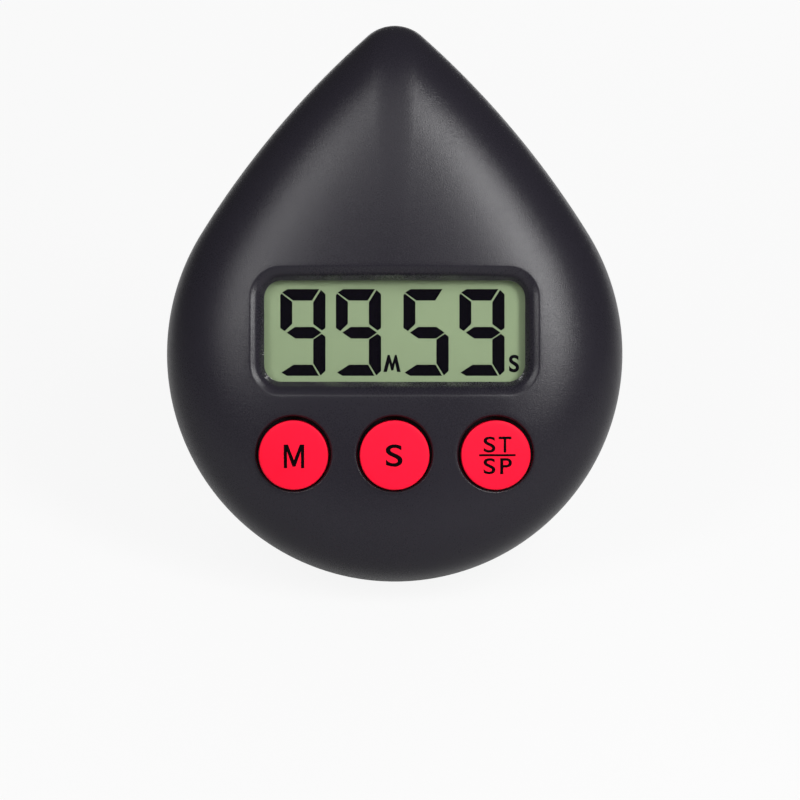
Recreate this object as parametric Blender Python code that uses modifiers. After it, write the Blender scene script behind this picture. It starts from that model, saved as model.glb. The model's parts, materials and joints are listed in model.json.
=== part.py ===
"""Drop-shaped digital timer, standing on a table and leaning back on its fold-out leg.

The timer is modelled upright first: X to the viewer's right, Y from the face towards the back, Z up to the
tip, with Y = 0 at the parting line of the two casings and Z = 0 under the round end. Every piece hangs on
one empty, which then leans the timer back until its leg and its round end stand on the table at Z = 0.
"""

import math

import bmesh
import bpy
from mathutils import Matrix, Vector

# Outline of the drop, seen from the front: a round end, two long flank arcs and a round tip.
HEIGHT = 0.0820
WIDTH = 0.0672
FLANK_RADIUS = 0.1311
TIP_RADIUS = 0.0060
ROUND_STEPS = 18
FLANK_STEPS = 6
TIP_STEPS = 4

# Depth of the casings and how full their sections are.
FRONT_DEPTH = 0.0140
REAR_DEPTH = 0.0110
CROWN_POWER = 3.0
REAR_POWER = 2.4
REAR_EDGE = 0.0070
WALL = 0.0020
CROWN_STEPS = 10
CROWN_END = 0.12

# Gaps between pieces: seated faces, bonded faces, sliding and turning fits.
SEAT_GAP = 0.0003
BOND_GAP = 0.0001
RUN_GAP = 0.0002

# Lap joint round the parting line: the front casing's skin covers the rear casing's lip.
LIP_SKIN = 0.0008
LIP_HEIGHT = 0.0015

# Display opening in the front casing.
VIEW_WIDTH = 0.0379
VIEW_HEIGHT = 0.0147
VIEW_CORNER = 0.0025
VIEW_CENTRE_Z = 0.0368
VIEW_FLARE = 0.0022
VIEW_LIP = 0.0006
VIEW_STEP = 0.0002
SURROUND_MARGIN = 0.0028

# Clear window: a plug in the opening with a bonded flange behind it.
WINDOW_PLUG_GAP = 0.00015
WINDOW_SUNK = 0.0002
WINDOW_FLANGE = 0.0012
WINDOW_FLANGE_THICK = 0.0006
WINDOW_ROOM = 0.00015

# Display glass: front plate, shorter rear plate, contact ledge along the lower edge.
GLASS_BORDER = 0.00175
GLASS_THICK = 0.0011
GLASS_LEDGE = 0.0024
HOLDER_WALL = 0.0011
HOLDER_SUNK = 0.0008
HOLDER_RIM = 0.0030
STRIP_LENGTH = 0.0360
STRIP_WIDTH = 0.0016

# Circuit board and what is soldered to its rear face.
BOARD_FRONT_Y = -0.0044
BOARD_THICK = 0.0012
BOARD_WIDTH = 0.0400
BOARD_EDGE = 0.0030
BOARD_HIGH_Z = 0.0555
BOARD_CORNER = 0.0090
CHIP_RADIUS = 0.0040
CHIP_RISE = 0.0013
CHIP_Z = 0.0465
CRYSTAL_RADIUS = 0.0010
CRYSTAL_LENGTH = 0.0060
CRYSTAL_X = 0.0095

# Keys: three round caps in a row below the display, which hang a little low in their holes.
KEY_RADIUS = 0.00503
KEY_PITCH = 0.01465
KEY_DROP = 0.0007
KEY_PROUD = 0.0009
KEY_EDGE = 0.0005
KEY_GAP = 0.0004
KEY_HANG = 0.00025
KEY_COLLAR = 0.00095
KEY_FLANGE = 0.0008
KEY_FLANGE_THICK = 0.0008
KEY_FLANGE_ROOM = 0.0004
KEY_STEM_RADIUS = 0.0026
KEY_STEM = 0.0002

# Silicone mat under the keys, with one collapsing dome and one carbon pill for each key.
MAT_LENGTH = 0.0400
MAT_HEIGHT = 0.0099
MAT_CORNER = 0.0020
MAT_THICK = 0.0007
MAT_ROOM = 0.0002
DOME_FOOT_RADIUS = 0.0044
DOME_TOP_RADIUS = 0.0030
DOME_WALL = 0.0006
PILL_RADIUS = 0.0016
PILL_THICK = 0.0004

# Screws: three hold the casings together, four hold the board to the front casing.
SCREW_SIDE_X = 0.0260
SCREW_SIDE_Z = 0.0245
SCREW_TIP_INSET = 0.0095
SCREW_RADIUS = 0.0010
SCREW_HEAD_RADIUS = 0.0021
SCREW_HEAD = 0.0016
SCREW_SEAT_Y = 0.0040
SCREW_LENGTH = 0.0090
SCREW_TUBE_WALL = 0.0010
POST_RADIUS = 0.0026
BOARD_SCREW_LOW_X = 0.0075
BOARD_SCREW_HIGH = (0.0155, 0.0528)
BOARD_SCREW_RADIUS = 0.0008
BOARD_SCREW_HEAD_RADIUS = 0.0018
BOARD_SCREW_HEAD = 0.0012
BOARD_SCREW_LENGTH = 0.0042
BOARD_POST_RADIUS = 0.0021
CROSS_WIDTH = 0.0007
CROSS_DEPTH = 0.0007
CROSS_MARGIN = 0.0009
HEAD_TAPER = 0.0003

# Fold-out leg on the back and the pocket that it folds into.
LEG_WIDTH = 0.0300
LEG_THICK = 0.0025
LEG_TOE_Z = 0.0050
LEG_TOE_CORNER = 0.0030
HINGE_Z = 0.0440
LEG_SPLAY = math.radians(14.0)
HINGE_STUB_RADIUS = 0.0009
HINGE_STUB = 0.0018
HINGE_GAP = 0.0001
POCKET_GAP = 0.0004
POCKET_WALL = 0.0026

# Coin cell (20 mm by 3.2 mm), its well and its turn-lock door.
CELL_RADIUS = 0.0100
CELL_THICK = 0.0032
CELL_EDGE = 0.00027
CELL_Z = 0.0250
WELL_GAP = 0.0004
WELL_WALL = 0.0012
WELL_FLOOR = 0.0010
DOOR_MARGIN = 0.0018
DOOR_THICK = 0.0014
DOOR_SUNK = 0.0002
DOOR_HUB_MARGIN = 0.0008
DOOR_LUG = 0.0012
DOOR_LUG_WIDTH = 0.0050
DOOR_LUG_THICK = 0.0009
DOOR_LUGS = 3
DOOR_TURN = math.radians(45.0)
COIN_SLOT = (0.0140, 0.0020, 0.0008)
CONTACT_THICK = 0.0003
CONTACT_WIDTH = 0.0040
CONTACT_RISE = 0.0110

# Magnets let into the back.
MAGNET_RADIUS = 0.0040
MAGNET_THICK = 0.0020
MAGNET_PROUD = 0.0001
MAGNET_X = 0.0148
MAGNET_RISE = 0.00285
MAGNET_BOSS = 0.0010
MAGNET_FLOOR = 0.0012

# Piezo sounder on a ring behind the tip, over a group of sound holes.
SOUNDER_RADIUS = 0.0090
SOUNDER_PLATE = 0.0003
SOUNDER_CERAMIC_RADIUS = 0.0062
SOUNDER_CERAMIC = 0.0003
SOUNDER_RISE = 0.0008
SOUNDER_LEDGE = 0.0014
SOUNDER_CHAMBER = 0.0015
SOUNDER_RIM = 0.0009
SOUNDER_RING_WALL = 0.0011
SOUND_HOLE_RADIUS = 0.0008
SOUND_HOLE_PITCH = 0.0036
SOUND_HOLES = 6
WIRE_RADIUS = 0.0005
WIRE_X = 0.0032
WIRE_Z = 0.0520

SEGMENTS = 28
SMALL_SEGMENTS = 16
CUT = 0.0010
FAR = 0.0300

ROUND_RADIUS = WIDTH / 2
TIP_CENTRE = HEIGHT - TIP_RADIUS - ROUND_RADIUS
FLANK_FROM_ROUND = FLANK_RADIUS - ROUND_RADIUS
FLANK_FROM_TIP = FLANK_RADIUS - TIP_RADIUS
FLANK_UP = (FLANK_FROM_ROUND**2 - FLANK_FROM_TIP**2 + TIP_CENTRE**2) / (2 * TIP_CENTRE)
FLANK_ACROSS = math.sqrt(FLANK_FROM_ROUND**2 - FLANK_UP**2)


def dome_depth(radius, gap=0.0):
    """How far the round end's face, brought in by the gap, stands out at a radius about its centre."""
    share = radius / (ROUND_RADIUS - gap)
    return (FRONT_DEPTH - gap) * (1 - share**CROWN_POWER) ** (1 / CROWN_POWER)


# The window's farthest corners, and the outer keys' flanges, clear the inside of the dome.
CORNER_ACROSS = VIEW_WIDTH / 2 + WINDOW_FLANGE - VIEW_CORNER
CORNER_UP = abs(VIEW_CENTRE_Z - ROUND_RADIUS) + VIEW_HEIGHT / 2 + WINDOW_FLANGE - VIEW_CORNER
CORNER_REACH = math.hypot(CORNER_ACROSS, CORNER_UP) + VIEW_CORNER
VIEW_RIM_Y = WINDOW_ROOM - dome_depth(CORNER_REACH, WALL) - BOND_GAP - VIEW_LIP
GLASS_LOW_Z = VIEW_CENTRE_Z - VIEW_HEIGHT / 2 - SEAT_GAP
LEDGE_LOW_Z = GLASS_LOW_Z - GLASS_LEDGE
HOLDER_LOW_Z = LEDGE_LOW_Z - SEAT_GAP - HOLDER_WALL
KEY_ROW_Z = HOLDER_LOW_Z - KEY_DROP - KEY_FLANGE - KEY_RADIUS
KEY_REACH = math.hypot(KEY_PITCH, KEY_ROW_Z - ROUND_RADIUS) + KEY_RADIUS + KEY_FLANGE
KEY_STOP_Y = KEY_FLANGE_ROOM - SEAT_GAP - dome_depth(KEY_REACH, WALL)

BOARD_BACK_Y = BOARD_FRONT_Y + BOARD_THICK
BOARD_SCREW_LOW = (BOARD_SCREW_LOW_X, KEY_ROW_Z - MAT_HEIGHT / 2 - MAT_ROOM - BOARD_POST_RADIUS)
BOARD_LOW_Z = BOARD_SCREW_LOW[1] - BOARD_EDGE
KEY_PLACES = {"minute": -KEY_PITCH, "second": 0.0, "start": KEY_PITCH}
SCREW_TIP_Z = HEIGHT - SCREW_TIP_INSET
CASE_SCREWS = ((-SCREW_SIDE_X, SCREW_SIDE_Z), (SCREW_SIDE_X, SCREW_SIDE_Z), (0.0, SCREW_TIP_Z))
BOARD_SCREWS = tuple((side * x, z) for x, z in (BOARD_SCREW_LOW, BOARD_SCREW_HIGH) for side in (-1, 1))

POCKET_FLOOR_Y = REAR_DEPTH - LEG_THICK - SEAT_GAP
POCKET_INNER_Y = POCKET_FLOOR_Y - WALL
POCKET_TOP_Z = HINGE_Z + LEG_THICK / 2 + POCKET_GAP
TRAY_TOP_Z = POCKET_TOP_Z + POCKET_WALL
HINGE_Y = REAR_DEPTH - LEG_THICK / 2
LEG_LENGTH = HINGE_Z - LEG_TOE_Z
DOOR_RADIUS = CELL_RADIUS + DOOR_MARGIN
DOOR_HUB_RADIUS = CELL_RADIUS + DOOR_HUB_MARGIN
DOOR_LUG_REACH = DOOR_RADIUS + DOOR_LUG
LUG_TOP_Y = POCKET_INNER_Y - SEAT_GAP
LUG_LOW_Y = LUG_TOP_Y - DOOR_LUG_THICK
CELL_BACK_Y = LUG_LOW_Y - SEAT_GAP
CELL_FRONT_Y = CELL_BACK_Y - CELL_THICK
WELL_FLOOR_Y = CELL_FRONT_Y - CONTACT_THICK - 2 * SEAT_GAP
WELL_RADIUS = math.hypot(DOOR_LUG_REACH, DOOR_LUG_WIDTH / 2) + WELL_GAP
MAGNET_Z = POCKET_TOP_Z + MAGNET_RISE + MAGNET_RADIUS
SOUNDER_Z = TRAY_TOP_Z + SOUNDER_RISE + SOUNDER_RADIUS

for leftover in list(bpy.data.objects):
    bpy.data.objects.remove(leftover)

parts = bpy.data.collections.new("drop_timer")
helpers = bpy.data.collections.new("cutters")
for group in (parts, helpers):
    bpy.context.scene.collection.children.link(group)

timer = bpy.data.objects.new("timer_lean", None)
parts.objects.link(timer)


def finish(name, colour, roughness, metallic=0.0):
    """A plain moulded, metal or glass surface."""
    made = bpy.data.materials.new(name)
    made.use_nodes = True
    shader = made.node_tree.nodes["Principled BSDF"]
    shader.inputs["Base Color"].default_value = (*colour, 1.0)
    shader.inputs["Roughness"].default_value = roughness
    shader.inputs["Metallic"].default_value = metallic
    return made


BLACK = finish("black_casing", (0.030, 0.029, 0.034), 0.5)
RED = finish("red_key", (0.90, 0.012, 0.045), 0.45)
CLEAR = finish("clear_window", (0.85, 0.90, 0.88), 0.05)
DISPLAY = finish("display_glass", (0.29, 0.38, 0.22), 0.2)
WHITE = finish("white_moulding", (0.75, 0.75, 0.72), 0.5)
RUBBER = finish("contact_rubber", (0.35, 0.36, 0.38), 0.8)
BOARD = finish("circuit_board", (0.04, 0.20, 0.07), 0.45)
EPOXY = finish("chip_epoxy", (0.015, 0.015, 0.015), 0.3)
CARBON = finish("carbon_pill", (0.02, 0.02, 0.02), 0.8)
STEEL = finish("plated_steel", (0.62, 0.62, 0.60), 0.3, 1.0)
BRASS = finish("sounder_brass", (0.72, 0.52, 0.20), 0.35, 1.0)
CERAMIC = finish("sounder_ceramic", (0.78, 0.77, 0.72), 0.5)
MAGNET = finish("magnet", (0.55, 0.55, 0.56), 0.3, 1.0)
WIRE_COLOURS = {
    "red": finish("wire_red", (0.6, 0.02, 0.02), 0.5),
    "black": finish("wire_black", (0.02, 0.02, 0.02), 0.5),
}


def add_object(name, data, surface=None):
    """A piece of the timer or, with no surface, a helper that only cuts, joins or trims."""
    obj = bpy.data.objects.new(name, data)
    obj.parent = timer
    if surface is None:
        helpers.objects.link(obj)
        obj.hide_render = True
        obj.display_type = "WIRE"
    else:
        parts.objects.link(obj)
        data.materials.append(surface)
    return obj


def solid(name, shape, surface=None, location=(0.0, 0.0, 0.0)):
    """An object from a bmesh, which is used up."""
    mesh = bpy.data.meshes.new(name)
    bmesh.ops.recalc_face_normals(shape, faces=shape.faces)
    shape.to_mesh(mesh)
    shape.free()
    mesh.shade_smooth()
    mesh.set_sharp_from_angle(angle=math.radians(35))
    obj = add_object(name, mesh, surface)
    obj.location = location
    return obj


def combine(obj, operation, tool):
    """Joins the tool to the object, cuts it away or keeps what both share, also where its shapes overlap."""
    modifier = obj.modifiers.new(f"{operation.lower()}_{tool.name}", "BOOLEAN")
    modifier.operation = operation
    modifier.solver = "EXACT"
    modifier.use_self = True
    modifier.object = tool


def add_round(shape, x, z, radius, front, back, back_radius=None, segments=SEGMENTS):
    """A cylinder along the depth axis, or a cone where the back has its own radius."""
    place = Matrix.Translation((x, (front + back) / 2, z)) @ Matrix.Rotation(-math.pi / 2, 4, "X")
    bmesh.ops.create_cone(
        shape,
        cap_ends=True,
        segments=segments,
        radius1=radius,
        radius2=radius if back_radius is None else back_radius,
        depth=back - front,
        matrix=place,
    )


def add_box(shape, size, centre, turn=0.0):
    """A box of that size, turned about the depth axis before it is moved to its centre."""
    place = Matrix.Translation(centre) @ Matrix.Rotation(turn, 4, "Y") @ Matrix.Diagonal((*size, 1.0))
    return bmesh.ops.create_cube(shape, size=1.0, matrix=place)["verts"]


def add_slab(shape, width, height, corner, front, back, centre_z, grow_x=0.0, grow_z=0.0):
    """A plate with rounded corners, seen from the front. Its front end may be larger than its back end."""
    middle = (0.0, (front + back) / 2, centre_z)
    box = add_box(shape, (width, back - front, height), middle)
    upright = [
        edge
        for edge in {e for v in box for e in v.link_edges}
        if abs(edge.verts[0].co.y - edge.verts[1].co.y) > (back - front) / 2
    ]
    rounded = bmesh.ops.bevel(
        shape, geom=upright, offset=corner, segments=5, profile=0.5, affect="EDGES", material=-1
    )
    plate = {v for v in rounded["verts"]} | {v for v in box if v.is_valid}
    for vert in plate:
        if vert.co.y < middle[1]:
            vert.co.x *= 1 + 2 * grow_x / width
            vert.co.z += (vert.co.z - centre_z) * 2 * grow_z / height


def arc(centre_x, centre_z, radius, start, stop, steps):
    """Points from the start angle to the stop angle, without the last one."""
    turns = [start + (stop - start) * i / steps for i in range(steps)]
    return [(centre_x + radius * math.cos(a), centre_z + radius * math.sin(a)) for a in turns]


def drop_outline():
    """The drop's outline about the centre of its round end, anticlockwise from the lowest point."""
    flank_start = math.atan2(-FLANK_UP, FLANK_ACROSS)
    flank_stop = math.atan2(TIP_CENTRE - FLANK_UP, FLANK_ACROSS)
    right = arc(0.0, 0.0, ROUND_RADIUS, -math.pi / 2, flank_start, ROUND_STEPS)
    right += arc(-FLANK_ACROSS, FLANK_UP, FLANK_RADIUS, flank_start, flank_stop, FLANK_STEPS)
    right += arc(0.0, TIP_CENTRE, TIP_RADIUS, flank_stop, math.pi / 2, TIP_STEPS)
    left = [(-x, z) for x, z in reversed(right[1:])]
    return [*right, (0.0, TIP_CENTRE + TIP_RADIUS), *left]


def swept(levels):
    """A closed body through scaled copies of the outline, one for each (scale, depth), capped twice."""
    shape = bmesh.new()
    scale, depth = levels[0]
    ring = [shape.verts.new((x * scale, depth, z * scale + ROUND_RADIUS)) for x, z in drop_outline()]
    edges = shape.faces.new(ring).edges[:]
    for next_scale, next_depth in levels[1:]:
        grown = bmesh.ops.extrude_edge_only(shape, edges=edges)["geom"]
        ring = [item for item in grown if isinstance(item, bmesh.types.BMVert)]
        inside = set(ring)
        edges = [e for e in grown if isinstance(e, bmesh.types.BMEdge) and inside.issuperset(e.verts)]
        ratio = next_scale / scale
        about = Matrix.Translation((0.0, 0.0, -ROUND_RADIUS))
        bmesh.ops.scale(shape, verts=ring, vec=(ratio, 1.0, ratio), space=about)
        bmesh.ops.translate(shape, verts=ring, vec=(0.0, next_depth - depth, 0.0))
        scale, depth = next_scale, next_depth
    bmesh.ops.edgeloop_fill(shape, edges=edges)
    return shape


def inset(distance):
    """The scale that brings the round end's outline in by that distance."""
    return 1 - distance / ROUND_RADIUS


def crown_levels(gap=0.0):
    """The front casing's section, rim to crown, brought in by the gap."""
    last = math.acos(CROWN_END ** (CROWN_POWER / 2))
    turns = [last * i / CROWN_STEPS for i in range(CROWN_STEPS + 1)]
    depth = FRONT_DEPTH - gap
    return [
        (inset(gap) * math.cos(t) ** (2 / CROWN_POWER), -depth * math.sin(t) ** (2 / CROWN_POWER))
        for t in turns
    ]


def rear_levels(gap=0.0):
    """The rear casing's section, rim to the edge of its flat back, brought in by the gap."""
    turns = [math.pi / 2 * i / CROWN_STEPS for i in range(CROWN_STEPS + 1)]
    flat = inset(REAR_EDGE)
    depth = REAR_DEPTH - gap
    edge = inset(gap) - flat
    return [
        (flat + edge * math.cos(t) ** (2 / REAR_POWER), depth * math.sin(t) ** (2 / REAR_POWER))
        for t in turns
    ]


def crown_depth(x, z):
    """How far the front casing's face stands out at a point below the flanks."""
    return dome_depth(math.hypot(x, z - ROUND_RADIUS))


def crown_depth_up(z):
    """The same on the centre line above the round end's centre."""
    share = (z - ROUND_RADIUS) / (HEIGHT - ROUND_RADIUS)
    return FRONT_DEPTH * (1 - share**CROWN_POWER) ** (1 / CROWN_POWER)


def front_case():
    """Domed front shell: display surround, key collars, posts for the board and for the case screws."""
    rebate = -LIP_HEIGHT - SEAT_GAP
    inner = [level for level in crown_levels(WALL) if level[1] < rebate]
    levels = [
        *reversed(inner),
        (inset(WALL), rebate),
        (inset(LIP_SKIN), rebate),
        (inset(LIP_SKIN), 0.0),
        *crown_levels(),
    ]
    case = solid("front_case", swept(levels), BLACK)

    ribs = bmesh.new()
    surround = 2 * SURROUND_MARGIN
    lip_back = VIEW_RIM_Y + VIEW_LIP
    add_slab(
        ribs,
        VIEW_WIDTH + surround,
        VIEW_HEIGHT + surround,
        VIEW_CORNER + SURROUND_MARGIN,
        -FRONT_DEPTH,
        lip_back,
        VIEW_CENTRE_Z,
    )
    hole_z = KEY_ROW_Z + KEY_HANG
    for x in KEY_PLACES.values():
        add_round(ribs, x, hole_z, KEY_RADIUS + KEY_GAP + KEY_COLLAR, -FRONT_DEPTH, KEY_STOP_Y)
    for x, z in BOARD_SCREWS:
        add_round(ribs, x, z, BOARD_POST_RADIUS, -FRONT_DEPTH, BOARD_FRONT_Y - SEAT_GAP, None, SMALL_SEGMENTS)
    for x, z in CASE_SCREWS:
        add_round(ribs, x, z, POST_RADIUS, -FRONT_DEPTH, -SEAT_GAP / 2, None, SMALL_SEGMENTS)
    ribs = solid("front_ribs", ribs)
    combine(ribs, "INTERSECT", solid("front_mid_wall", swept(crown_levels(WALL / 2))))
    combine(case, "UNION", ribs)

    holes = bmesh.new()
    add_slab(holes, VIEW_WIDTH, VIEW_HEIGHT, VIEW_CORNER, VIEW_RIM_Y - CUT, lip_back + CUT, VIEW_CENTRE_Z)
    for x in KEY_PLACES.values():
        add_round(holes, x, hole_z, KEY_RADIUS + KEY_GAP, -FRONT_DEPTH - CUT, KEY_STOP_Y + CUT)
    for x, z in BOARD_SCREWS:
        tip = BOARD_BACK_Y - BOARD_SCREW_LENGTH - CUT
        add_round(holes, x, z, BOARD_SCREW_RADIUS + RUN_GAP, tip, BOARD_FRONT_Y, None, SMALL_SEGMENTS)
    for x, z in CASE_SCREWS:
        tip = SCREW_SEAT_Y - SCREW_LENGTH - CUT / 2
        add_round(holes, x, z, SCREW_RADIUS + RUN_GAP, tip, CUT, None, SMALL_SEGMENTS)
    combine(case, "DIFFERENCE", solid("front_holes", holes))

    side_fall = crown_depth(VIEW_WIDTH / 2 + VIEW_FLARE, VIEW_CENTRE_Z) + VIEW_RIM_Y
    top_fall = crown_depth_up(VIEW_CENTRE_Z + VIEW_HEIGHT / 2 + VIEW_FLARE) + VIEW_RIM_Y
    fall = FRONT_DEPTH + CUT + VIEW_RIM_Y
    funnel = bmesh.new()
    add_slab(
        funnel,
        VIEW_WIDTH + 2 * VIEW_STEP,
        VIEW_HEIGHT + 2 * VIEW_STEP,
        VIEW_CORNER + VIEW_STEP,
        -FRONT_DEPTH - CUT,
        VIEW_RIM_Y,
        VIEW_CENTRE_Z,
        VIEW_FLARE * fall / side_fall,
        VIEW_FLARE * fall / top_fall,
    )
    combine(case, "DIFFERENCE", solid("display_flare", funnel))
    return case


def display_window():
    """Clear plug window: it fills the opening from behind and is bonded round its flange."""
    window = bmesh.new()
    flange_front = VIEW_RIM_Y + VIEW_LIP + BOND_GAP
    flange_back = flange_front + WINDOW_FLANGE_THICK
    add_slab(
        window,
        VIEW_WIDTH + 2 * WINDOW_FLANGE,
        VIEW_HEIGHT + 2 * WINDOW_FLANGE,
        VIEW_CORNER,
        flange_front,
        flange_back,
        VIEW_CENTRE_Z,
    )
    pane = solid("display_window", window, CLEAR)
    plug = bmesh.new()
    add_slab(
        plug,
        VIEW_WIDTH - 2 * WINDOW_PLUG_GAP,
        VIEW_HEIGHT - 2 * WINDOW_PLUG_GAP,
        VIEW_CORNER - WINDOW_PLUG_GAP,
        VIEW_RIM_Y + WINDOW_SUNK,
        flange_back - WINDOW_FLANGE_THICK / 2,
        VIEW_CENTRE_Z,
    )
    combine(pane, "UNION", solid("window_plug", plug))
    return flange_back


def display(window_back):
    """Display glass with its contact ledge, the white holder behind it and the contact rubber strip."""
    width = VIEW_WIDTH + 2 * GLASS_BORDER
    top = VIEW_CENTRE_Z + VIEW_HEIGHT / 2 + GLASS_BORDER
    front = window_back + SEAT_GAP
    middle = front + GLASS_THICK
    back = middle + GLASS_THICK

    glass = bmesh.new()
    centre_z = (top + LEDGE_LOW_Z) / 2
    add_box(glass, (width, GLASS_THICK, top - LEDGE_LOW_Z), (0.0, (front + middle) / 2, centre_z))
    panel = solid("display_glass", glass, DISPLAY)
    rear_plate = bmesh.new()
    overlap = GLASS_THICK / 2
    add_box(
        rear_plate,
        (width, back - middle + overlap, top - GLASS_LOW_Z),
        (0.0, (middle - overlap + back) / 2, (top + GLASS_LOW_Z) / 2),
    )
    combine(panel, "UNION", solid("display_rear_plate", rear_plate))

    holder_back = BOARD_FRONT_Y - SEAT_GAP
    pocket_x = width + 2 * SEAT_GAP
    pocket_z = top - LEDGE_LOW_Z + 2 * SEAT_GAP
    frame = bmesh.new()
    add_slab(
        frame,
        pocket_x + 2 * HOLDER_WALL,
        pocket_z + 2 * HOLDER_WALL,
        HOLDER_WALL,
        front + HOLDER_SUNK,
        holder_back,
        centre_z,
    )
    holder = solid("display_holder", frame, WHITE)
    pocket = bmesh.new()
    floor = back + SEAT_GAP
    add_box(pocket, (pocket_x, floor - front + CUT, pocket_z), (0.0, (floor + front - CUT) / 2, centre_z))
    combine(holder, "DIFFERENCE", solid("display_holder_pocket", pocket))
    window = bmesh.new()
    open_low = LEDGE_LOW_Z + GLASS_LEDGE + HOLDER_RIM
    open_high = top - HOLDER_RIM
    deep = holder_back - floor + 2 * CUT
    add_box(
        window,
        (width - 2 * HOLDER_RIM, deep, open_high - open_low),
        (0.0, (holder_back + floor) / 2, (open_low + open_high) / 2),
    )
    strip_z = LEDGE_LOW_Z + GLASS_LEDGE / 2
    slot = (STRIP_LENGTH + 2 * SEAT_GAP, deep, STRIP_WIDTH + 2 * SEAT_GAP)
    add_box(window, slot, (0.0, (holder_back + floor) / 2, strip_z))
    combine(holder, "DIFFERENCE", solid("display_holder_window", window))

    strip = bmesh.new()
    strip_front = middle + SEAT_GAP
    add_box(
        strip,
        (STRIP_LENGTH, holder_back - strip_front, STRIP_WIDTH),
        (0.0, (holder_back + strip_front) / 2, strip_z),
    )
    solid("contact_strip", strip, RUBBER)


def circuit_board():
    """Board with its screw holes, the chip under its epoxy drop and the timing crystal."""
    plate = bmesh.new()
    height = BOARD_HIGH_Z - BOARD_LOW_Z
    centre_z = (BOARD_HIGH_Z + BOARD_LOW_Z) / 2
    add_slab(plate, BOARD_WIDTH, height, BOARD_CORNER, BOARD_FRONT_Y, BOARD_BACK_Y, centre_z)
    board = solid("circuit_board", plate, BOARD)
    holes = bmesh.new()
    for x, z in BOARD_SCREWS:
        hole = BOARD_SCREW_RADIUS + RUN_GAP
        add_round(holes, x, z, hole, BOARD_FRONT_Y - CUT, BOARD_BACK_Y + CUT, None, SMALL_SEGMENTS)
    combine(board, "DIFFERENCE", solid("board_holes", holes))

    drop = bmesh.new()
    bmesh.ops.create_uvsphere(drop, u_segments=SMALL_SEGMENTS, v_segments=8, radius=1.0)
    bmesh.ops.scale(drop, verts=drop.verts, vec=(CHIP_RADIUS, CHIP_RISE, CHIP_RADIUS))
    sides = [*drop.verts, *drop.edges, *drop.faces]
    cut = bmesh.ops.bisect_plane(
        drop, geom=sides, plane_co=(0.0, 0.0, 0.0), plane_no=(0.0, 1.0, 0.0), clear_inner=True
    )
    rim = [item for item in cut["geom_cut"] if isinstance(item, bmesh.types.BMEdge)]
    bmesh.ops.edgeloop_fill(drop, edges=rim)
    solid("chip_epoxy", drop, EPOXY, (0.0, BOARD_BACK_Y + BOND_GAP, CHIP_Z))

    can = bmesh.new()
    bmesh.ops.create_cone(
        can,
        cap_ends=True,
        segments=SMALL_SEGMENTS,
        radius1=CRYSTAL_RADIUS,
        radius2=CRYSTAL_RADIUS,
        depth=CRYSTAL_LENGTH,
    )
    solid("timing_crystal", can, STEEL, (CRYSTAL_X, BOARD_BACK_Y + BOND_GAP + CRYSTAL_RADIUS, CHIP_Z))


def keys():
    """Three caps that follow the dome, each with a stop flange, a stem and a carbon pill under its dome."""
    flange_front = KEY_STOP_Y + SEAT_GAP
    flange_back = flange_front + KEY_FLANGE_THICK
    stem_back = flange_back + KEY_STEM
    mat_top = stem_back + SEAT_GAP
    pill_front = mat_top + DOME_WALL + BOND_GAP
    for name, x in KEY_PLACES.items():
        cap = bmesh.new()
        top = -crown_depth(x, KEY_ROW_Z) - KEY_PROUD
        add_round(cap, 0.0, 0.0, KEY_RADIUS, top, flange_front + KEY_FLANGE_THICK / 2)
        rim = [e for e in cap.edges if all(v.co.y < top + CUT for v in e.verts)]
        bmesh.ops.bevel(
            cap, geom=rim, offset=KEY_EDGE, segments=2, profile=0.5, affect="EDGES", material=-1
        )
        face = max(cap.faces, key=lambda f: -f.calc_center_median().y)
        bmesh.ops.poke(cap, faces=[face])
        for vert in cap.verts:
            if vert.co.y < top + CUT:
                vert.co.y += crown_depth(x, KEY_ROW_Z) - crown_depth(x + vert.co.x, KEY_ROW_Z + vert.co.z)
        key = solid(f"{name}_key", cap, RED, (x, 0.0, KEY_ROW_Z))
        foot = bmesh.new()
        add_round(foot, 0.0, 0.0, KEY_RADIUS + KEY_FLANGE, flange_front, flange_back)
        flange = solid(f"{name}_key_flange", foot, None, (x, 0.0, KEY_ROW_Z))
        combine(key, "UNION", flange)
        stem = bmesh.new()
        add_round(stem, 0.0, 0.0, KEY_STEM_RADIUS, flange_back - KEY_FLANGE_THICK / 2, stem_back)
        combine(key, "UNION", solid(f"{name}_key_stem", stem, None, (x, 0.0, KEY_ROW_Z)))

        pill = bmesh.new()
        add_round(pill, 0.0, 0.0, PILL_RADIUS, pill_front, pill_front + PILL_THICK, None, SMALL_SEGMENTS)
        solid(f"{name}_pill", pill, CARBON, (x, 0.0, KEY_ROW_Z))
    return mat_top


def key_mat(top):
    """Silicone sheet on the board with a hollow dome under each key."""
    back = BOARD_FRONT_Y - SEAT_GAP
    sheet = bmesh.new()
    add_slab(sheet, MAT_LENGTH, MAT_HEIGHT, MAT_CORNER, back - MAT_THICK, back, KEY_ROW_Z)
    mat = solid("key_mat", sheet, WHITE)
    domes = bmesh.new()
    hollows = bmesh.new()
    for x in KEY_PLACES.values():
        add_round(domes, x, KEY_ROW_Z, DOME_TOP_RADIUS, top, back - MAT_THICK / 2, DOME_FOOT_RADIUS)
        hollow_top = DOME_TOP_RADIUS - DOME_WALL / 2
        hollow_foot = DOME_FOOT_RADIUS - DOME_WALL / 2
        add_round(hollows, x, KEY_ROW_Z, hollow_top, top + DOME_WALL, back + CUT, hollow_foot)
    combine(mat, "UNION", solid("mat_domes", domes))
    combine(mat, "DIFFERENCE", solid("mat_hollows", hollows))


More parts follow.
